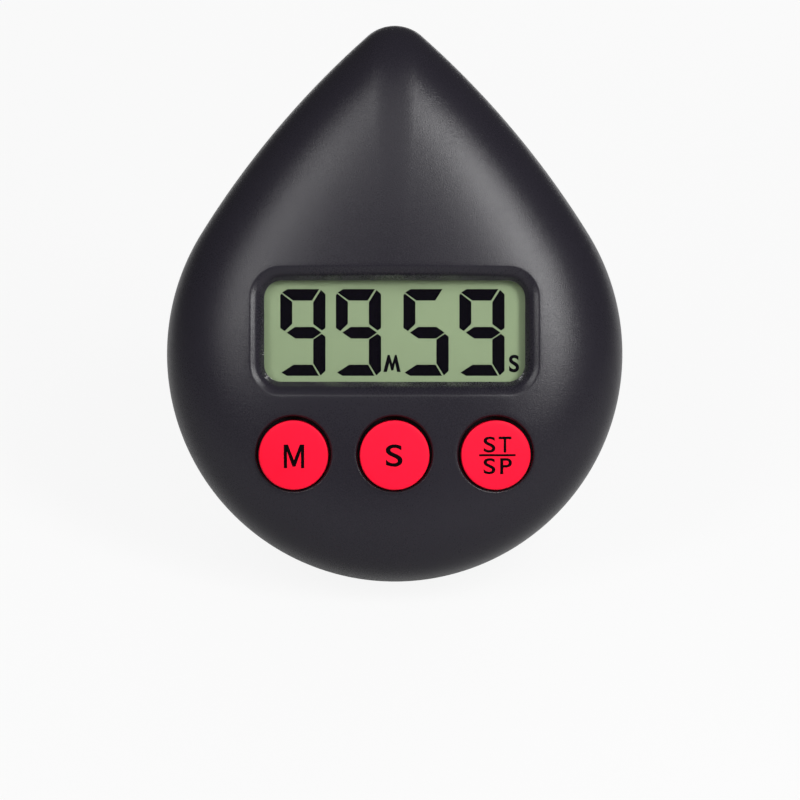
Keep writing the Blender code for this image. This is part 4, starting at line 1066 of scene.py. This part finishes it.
cuts = bmesh.new()
block(cuts, (-POCKET_HALF, POCKET_FLOOR, -BEYOND), (POCKET_HALF, REAR_DEPTH + BEYOND, POCKET_TOP))
flare_low = (-POCKET_HALF, REAR_DEPTH - EDGE_BREAK, -BEYOND)
flare_high = (POCKET_HALF, REAR_DEPTH + EDGE_BREAK, POCKET_TOP)
for vert in block(cuts, flare_low, flare_high):
    if vert.co.y > REAR_DEPTH:
        vert.co.x += math.copysign(2 * EDGE_BREAK, vert.co.x)
        vert.co.z += 2 * EDGE_BREAK if vert.co.z > 0 else 0.0
sideways = Matrix.Rotation(math.pi / 2, 4, "Y")
hinge_stand = Matrix.Translation((0.0, HINGE_DEPTH, HINGE_RISE)) @ sideways
rod(cuts, HINGE_BORE, 2 * HINGE_REACH, hinge_stand, segments=32)
mouth = [
    (0.0, LUG_LOW),
    (DOOR_MOUTH, LUG_LOW),
    (DOOR_MOUTH, POCKET_FLOOR - EDGE_BREAK / 2),
    (DOOR_MOUTH + MOUTH_FLARE, MOUTH_TOP),
    (0.0, MOUTH_TOP),
]
turned(cuts, 0.0, CELL_RISE, mouth, steps=128)
disc(cuts, 0.0, CELL_RISE, WELL_ROUND, LUG_LOW - LUG_SPARE, POCKET_INNER)
disc(cuts, 0.0, CELL_RISE, CELL_ROOM, WELL_FLOOR, LUG_TOP)
for turn in LUG_TURNS:
    add_lug(cuts, turn + DOOR_TURN, LUG_SPARE, LUG_LOW, POCKET_FLOOR + BEYOND)
block(
    cuts,
    (-CONTACT_ROOM / 2, WELL_FLOOR - CONTACT_DROP, NEGATIVE_LEG - NEGATIVE_HALF),
    (CONTACT_ROOM / 2, WELL_FLOOR + BEYOND, NEGATIVE_LEG + NEGATIVE_HALF),
)
block(
    cuts,
    (POSITIVE_INNER, WELL_FLOOR - CONTACT_DROP, CELL_RISE - CONTACT_ROOM / 2),
    (POSITIVE_OUTER, WELL_FLOOR + POSITIVE_RISE, CELL_RISE + CONTACT_ROOM / 2),
)
for x in (-MAGNET_ASIDE, MAGNET_ASIDE):
    open_bore(cuts, x, MAGNET_RISE, MAGNET_SOCKET, MAGNET_FLOOR, steps=96)
disc(cuts, 0.0, SOUNDER_RISE, SOUNDER_ROOM - SOUNDER_SEAT, SOUNDER_LEDGE - BEYOND, REAR_DEPTH - WALL)
disc(cuts, 0.0, SOUNDER_RISE, SOUNDER_ROOM, SOUNDER_LEDGE - SOUNDER_CLEAR, SOUNDER_LEDGE)
for x, z in SCREW_SPOTS:
    open_bore(cuts, x, z, SCREW_COUNTERBORE, SCREW_SEAT, steps=64)
    disc(cuts, x, z, SCREW_BORE, -BEYOND, SCREW_SEAT + BEYOND, segments=32)
open_bore(cuts, 0.0, SOUNDER_RISE, SOUND_HOLE, SOUNDER_LEDGE, steps=32)
for turn in SOUND_TURNS:
    aside, up = SOUND_PITCH * math.cos(turn), SOUND_PITCH * math.sin(turn)
    open_bore(cuts, aside, SOUNDER_RISE + up, SOUND_HOLE, SOUNDER_LEDGE, steps=32)
rear = carve(rear, ("UNION", carve(ribs, ("INTERSECT", mid_wall))), ("DIFFERENCE", cuts))
place("rear_shell", rear, black_plastic, "case", "casing", "rear_case")

# Sounder: a rolled brass plate with a silvered ceramic disc, glued on a ring behind the sound holes, and
# two thin insulated wires that are soldered to it and to the board.
BRASS = (0.72, 0.52, 0.20)
CERAMIC_GREY = (0.72, 0.71, 0.67)
SLEEVE_COLOURS = {"red": (0.60, 0.02, 0.02), "black": (0.02, 0.02, 0.02)}

brass = plated_metal("rolled_sounder_brass", BRASS, roughness=0.32, brush=(4000.0, 900.0, 900.0))
ceramic = moulded_plastic("silvered_ceramic", CERAMIC_GREY, roughness=0.45, grain=0.12, size=3000.0)
dress(brass, "sounder_plate")
dress(ceramic, "sounder_ceramic")
for name, colour in SLEEVE_COLOURS.items():
    sleeve = moulded_plastic(f"{name}_wire_sleeve", colour, roughness=0.42, grain=0.05, size=2500.0)
    dress(sleeve, f"{name}_wire")

# Coin cell and contacts: a nickel-plated steel cell, 20 mm across, which two springy plated strips join to
# the board, one under it and one at its side.
NICKEL_GREY = (0.66, 0.65, 0.62)

nickel = plated_metal("nickel_plated_steel", NICKEL_GREY, roughness=0.28, brush=(5200.0, 700.0, 700.0))
dress(nickel, "coin_cell", "positive_contact", "negative_contact")

# Battery door: a round black cap moulded with three lugs under its edge, a little below the floor of the
# pocket. A coin in its slot turns it until the lugs meet the notches.
DOOR_ROUND = 0.0118
DOOR_FACE = 0.0080
DOOR_THICK = 0.0014
HUB_ROUND = 0.0108
DOOR_EDGE = 0.00025
DOOR_EDGE_BEND = 0.3 * DOOR_EDGE
LUG_LIFT = 0.0002
SLOT_LENGTH = 0.0140
SLOT_WIDTH = 0.0020
SLOT_ROUND = 0.99 * SLOT_WIDTH / 2
SLOT_DEPTH = 0.0008
GROOVE_ROUND = 0.0098
GROOVE_HALF = 0.00025
GROOVE_DEPTH = 0.0002

door_profile = [
    (0.0, LUG_LOW),
    (HUB_ROUND - DOOR_EDGE, LUG_LOW),
    (HUB_ROUND, LUG_LOW + DOOR_EDGE),
    (HUB_ROUND, DOOR_FACE - DOOR_THICK),
    (DOOR_ROUND, DOOR_FACE - DOOR_THICK),
    (DOOR_ROUND, DOOR_FACE - DOOR_EDGE),
    (DOOR_ROUND - DOOR_EDGE_BEND, DOOR_FACE - DOOR_EDGE_BEND),
    (DOOR_ROUND - DOOR_EDGE, DOOR_FACE),
    (GROOVE_ROUND + GROOVE_HALF, DOOR_FACE),
    (GROOVE_ROUND, DOOR_FACE - GROOVE_DEPTH),
    (GROOVE_ROUND - GROOVE_HALF, DOOR_FACE),
    (0.0, DOOR_FACE),
]
cover = bmesh.new()
turned(cover, 0.0, CELL_RISE, door_profile, steps=128)
lugs = bmesh.new()
for turn in LUG_TURNS:
    add_lug(lugs, turn, 0.0, LUG_LOW + LUG_LIFT, LUG_TOP)
slot = bmesh.new()
rounded_face(slot, SLOT_LENGTH, SLOT_WIDTH, SLOT_ROUND, DOOR_FACE - SLOT_DEPTH, CELL_RISE)
thicken(slot, SLOT_DEPTH + BEYOND)
flare = bmesh.new()
rounded_face(flare, SLOT_LENGTH, SLOT_WIDTH, SLOT_ROUND, DOOR_FACE - DOOR_EDGE / 2, CELL_RISE)
thicken(flare, DOOR_EDGE)
for vert in flare.verts:
    if vert.co.y > DOOR_FACE:
        vert.co.x += math.copysign(DOOR_EDGE, vert.co.x)
        vert.co.z += math.copysign(DOOR_EDGE, vert.co.z - CELL_RISE)
door = carve(cover, ("UNION", lugs), ("DIFFERENCE", slot), ("DIFFERENCE", flare))
place("coin_slot_door", door, black_plastic, "door", "casing", "battery_door")

# Magnets: two sintered discs, nickel-plated with rounded edges, that hold the timer on a steel door. They
# are glued in their seats, a tenth of a millimetre proud of the back.
MAGNET_ROUND = 0.0040
MAGNET_FRONT = 0.0091
MAGNET_BACK = 0.0111
MAGNET_EDGE = 0.00025
MAGNET_GREY = (0.60, 0.59, 0.57)

magnet_nickel = plated_metal(
    "nickel_plated_magnet", MAGNET_GREY, roughness=0.24, brush=(1500.0, 1500.0, 1500.0)
)
edge_arc = [
    (
        MAGNET_ROUND - MAGNET_EDGE * (1 - math.cos(math.pi / 8 * i)),
        MAGNET_BACK - MAGNET_EDGE * (1 - math.sin(math.pi / 8 * i)),
    )
    for i in range(5)
]
magnet_profile = [
    (0.0, MAGNET_FRONT),
    (MAGNET_ROUND - MAGNET_EDGE, MAGNET_FRONT),
    (MAGNET_ROUND, MAGNET_FRONT + MAGNET_EDGE),
    *edge_arc,
    (0.0, MAGNET_BACK),
]
for name, x in (("left", -MAGNET_ASIDE), ("right", MAGNET_ASIDE)):
    button = bmesh.new()
    turned(button, x, MAGNET_RISE, magnet_profile, steps=96)
    place(f"{name}_magnet_disc", button, magnet_nickel, "case", "magnet", f"{name}_magnet")

# Screws: zinc-plated self-tapping screws with a cross in their pan heads. Three close the casings from the
# back, deep in their bores, and four hold the board.
SCREW_HEAD = 0.0021
SCREW_SHANK = 0.0010
SCREW_UNDER = 0.0041
SCREW_TIP = -0.0049
SCREW_POINT = 0.0014
HEAD_TOP = 0.0057
HEAD_CURVE = ((0.0, 0.0009), (0.0001, 0.0006), (0.0004, 0.0002), (0.0009, 0.0))
CROSS_REACH = 0.0012
CROSS_HALF = 0.00035
CROSS_DEPTH = 0.0007
CROSS_TAPER = 0.55
ZINC_GREY = (0.60, 0.61, 0.62)

zinc = plated_metal("zinc_plated_steel", ZINC_GREY, roughness=0.30, brush=(2600.0, 2600.0, 2600.0))
dress(zinc, *(f"board_screw_{number}" for number in range(1, 5)))
screw_profile = [
    (0.0, SCREW_TIP),
    (SCREW_SHANK, SCREW_TIP + SCREW_POINT),
    (SCREW_SHANK, SCREW_UNDER),
    (SCREW_HEAD, SCREW_UNDER),
    *((SCREW_HEAD - within, HEAD_TOP - under) for within, under in HEAD_CURVE),
    (0.0, HEAD_TOP),
]
for number, (x, z) in enumerate(SCREW_SPOTS, 1):
    blank = bmesh.new()
    turned(blank, x, z, screw_profile, steps=48)
    cross = bmesh.new()
    arm_low = (-CROSS_REACH, HEAD_TOP - CROSS_DEPTH, -CROSS_HALF)
    arm_high = (CROSS_REACH, HEAD_TOP + BEYOND, CROSS_HALF)
    about = Matrix.Translation((-x, 0.0, -z))
    for turn in (0.0, math.pi / 2):
        arm = block(cross, arm_low, arm_high, turn, (x, z))
        low = [vert for vert in arm if vert.co.y < HEAD_TOP]
        bmesh.ops.scale(cross, verts=low, vec=(CROSS_TAPER, 1.0, CROSS_TAPER), space=about)
    screw = carve(blank, ("DIFFERENCE", cross))
    place(f"closing_screw_{number}", screw, zinc, "case", "screw", f"case_screw_{number}")

# Stand leg: a flat black moulding that turns on two stub pins at its top and folds into the pocket. Its toe
# is cut level with the table, and its back has a shallow sunk panel.
LEG_WIDTH = 0.0300
LEG_THICK = 0.0025
LEG_LENGTH = 0.0390
LEG_SPLAY = math.radians(14.0)
TOE_ROUND = 0.0030
LEG_TOP_ROUND = 0.49 * LEG_THICK
LEG_EDGE = 0.00035
STUB_ROUND = 0.0009
STUB_REACH = 0.0168
PANEL_MARGIN = 0.0026
PANEL_SUNK = 0.0003
CRISP = math.radians(50)

leg = bmesh.new()
leg_low = (-LEG_WIDTH / 2, -LEG_THICK / 2, -LEG_LENGTH - LEG_THICK)
leg_high = (LEG_WIDTH / 2, LEG_THICK / 2, LEG_THICK / 2)
block(leg, leg_low, leg_high)
level = (0.0, math.sin(LEG_SPLAY), math.cos(LEG_SPLAY))
everything = leg.verts[:] + leg.edges[:] + leg.faces[:]
sawn = bmesh.ops.bisect_plane(
    leg, geom=everything, plane_co=(0.0, 0.0, -LEG_LENGTH), plane_no=level, clear_inner=True
)["geom_cut"]
bmesh.ops.edgeloop_fill(leg, edges=[item for item in sawn if isinstance(item, bmesh.types.BMEdge)])
across_edges = [e for e in leg.edges if abs(e.verts[0].co.y - e.verts[1].co.y) > LEG_THICK / 2]
toes = [e for e in across_edges if e.verts[0].co.z < -LEG_LENGTH / 2]
round_off(leg, toes, TOE_ROUND, steps=10)
tops = [e for e in leg.edges if all(v.co.z > LEG_THICK / 2 - 1e-6 for v in e.verts)]
round_off(leg, [e for e in tops if e.calc_length() > LEG_WIDTH / 2], LEG_TOP_ROUND, steps=8)
leg.normal_update()
back = max(leg.faces, key=lambda face: face.normal.y * face.calc_area())
for margin, rise in ((PANEL_MARGIN, 0.0), (PANEL_SUNK, -PANEL_SUNK)):
    bmesh.ops.inset_individual(leg, faces=[back], thickness=margin, depth=rise, use_even_offset=True)
leg.normal_update()
crisp_edges = [e for e in leg.edges if len(e.link_faces) == 2 and e.calc_face_angle() > CRISP]
round_off(leg, crisp_edges, LEG_EDGE, steps=3)
face_out(leg)
stubs = bmesh.new()
rod(stubs, STUB_ROUND, 2 * STUB_REACH, sideways, segments=32)
leg = carve(leg, ("UNION", stubs))
opened = Matrix.Translation(leg_hinge) @ Matrix.Rotation(LEG_SPLAY, 4, "X")
leg.transform(timer.inverted() @ opened)
place("folding_leg", leg, black_plastic, "leg", "casing", "stand_leg", crease=20)
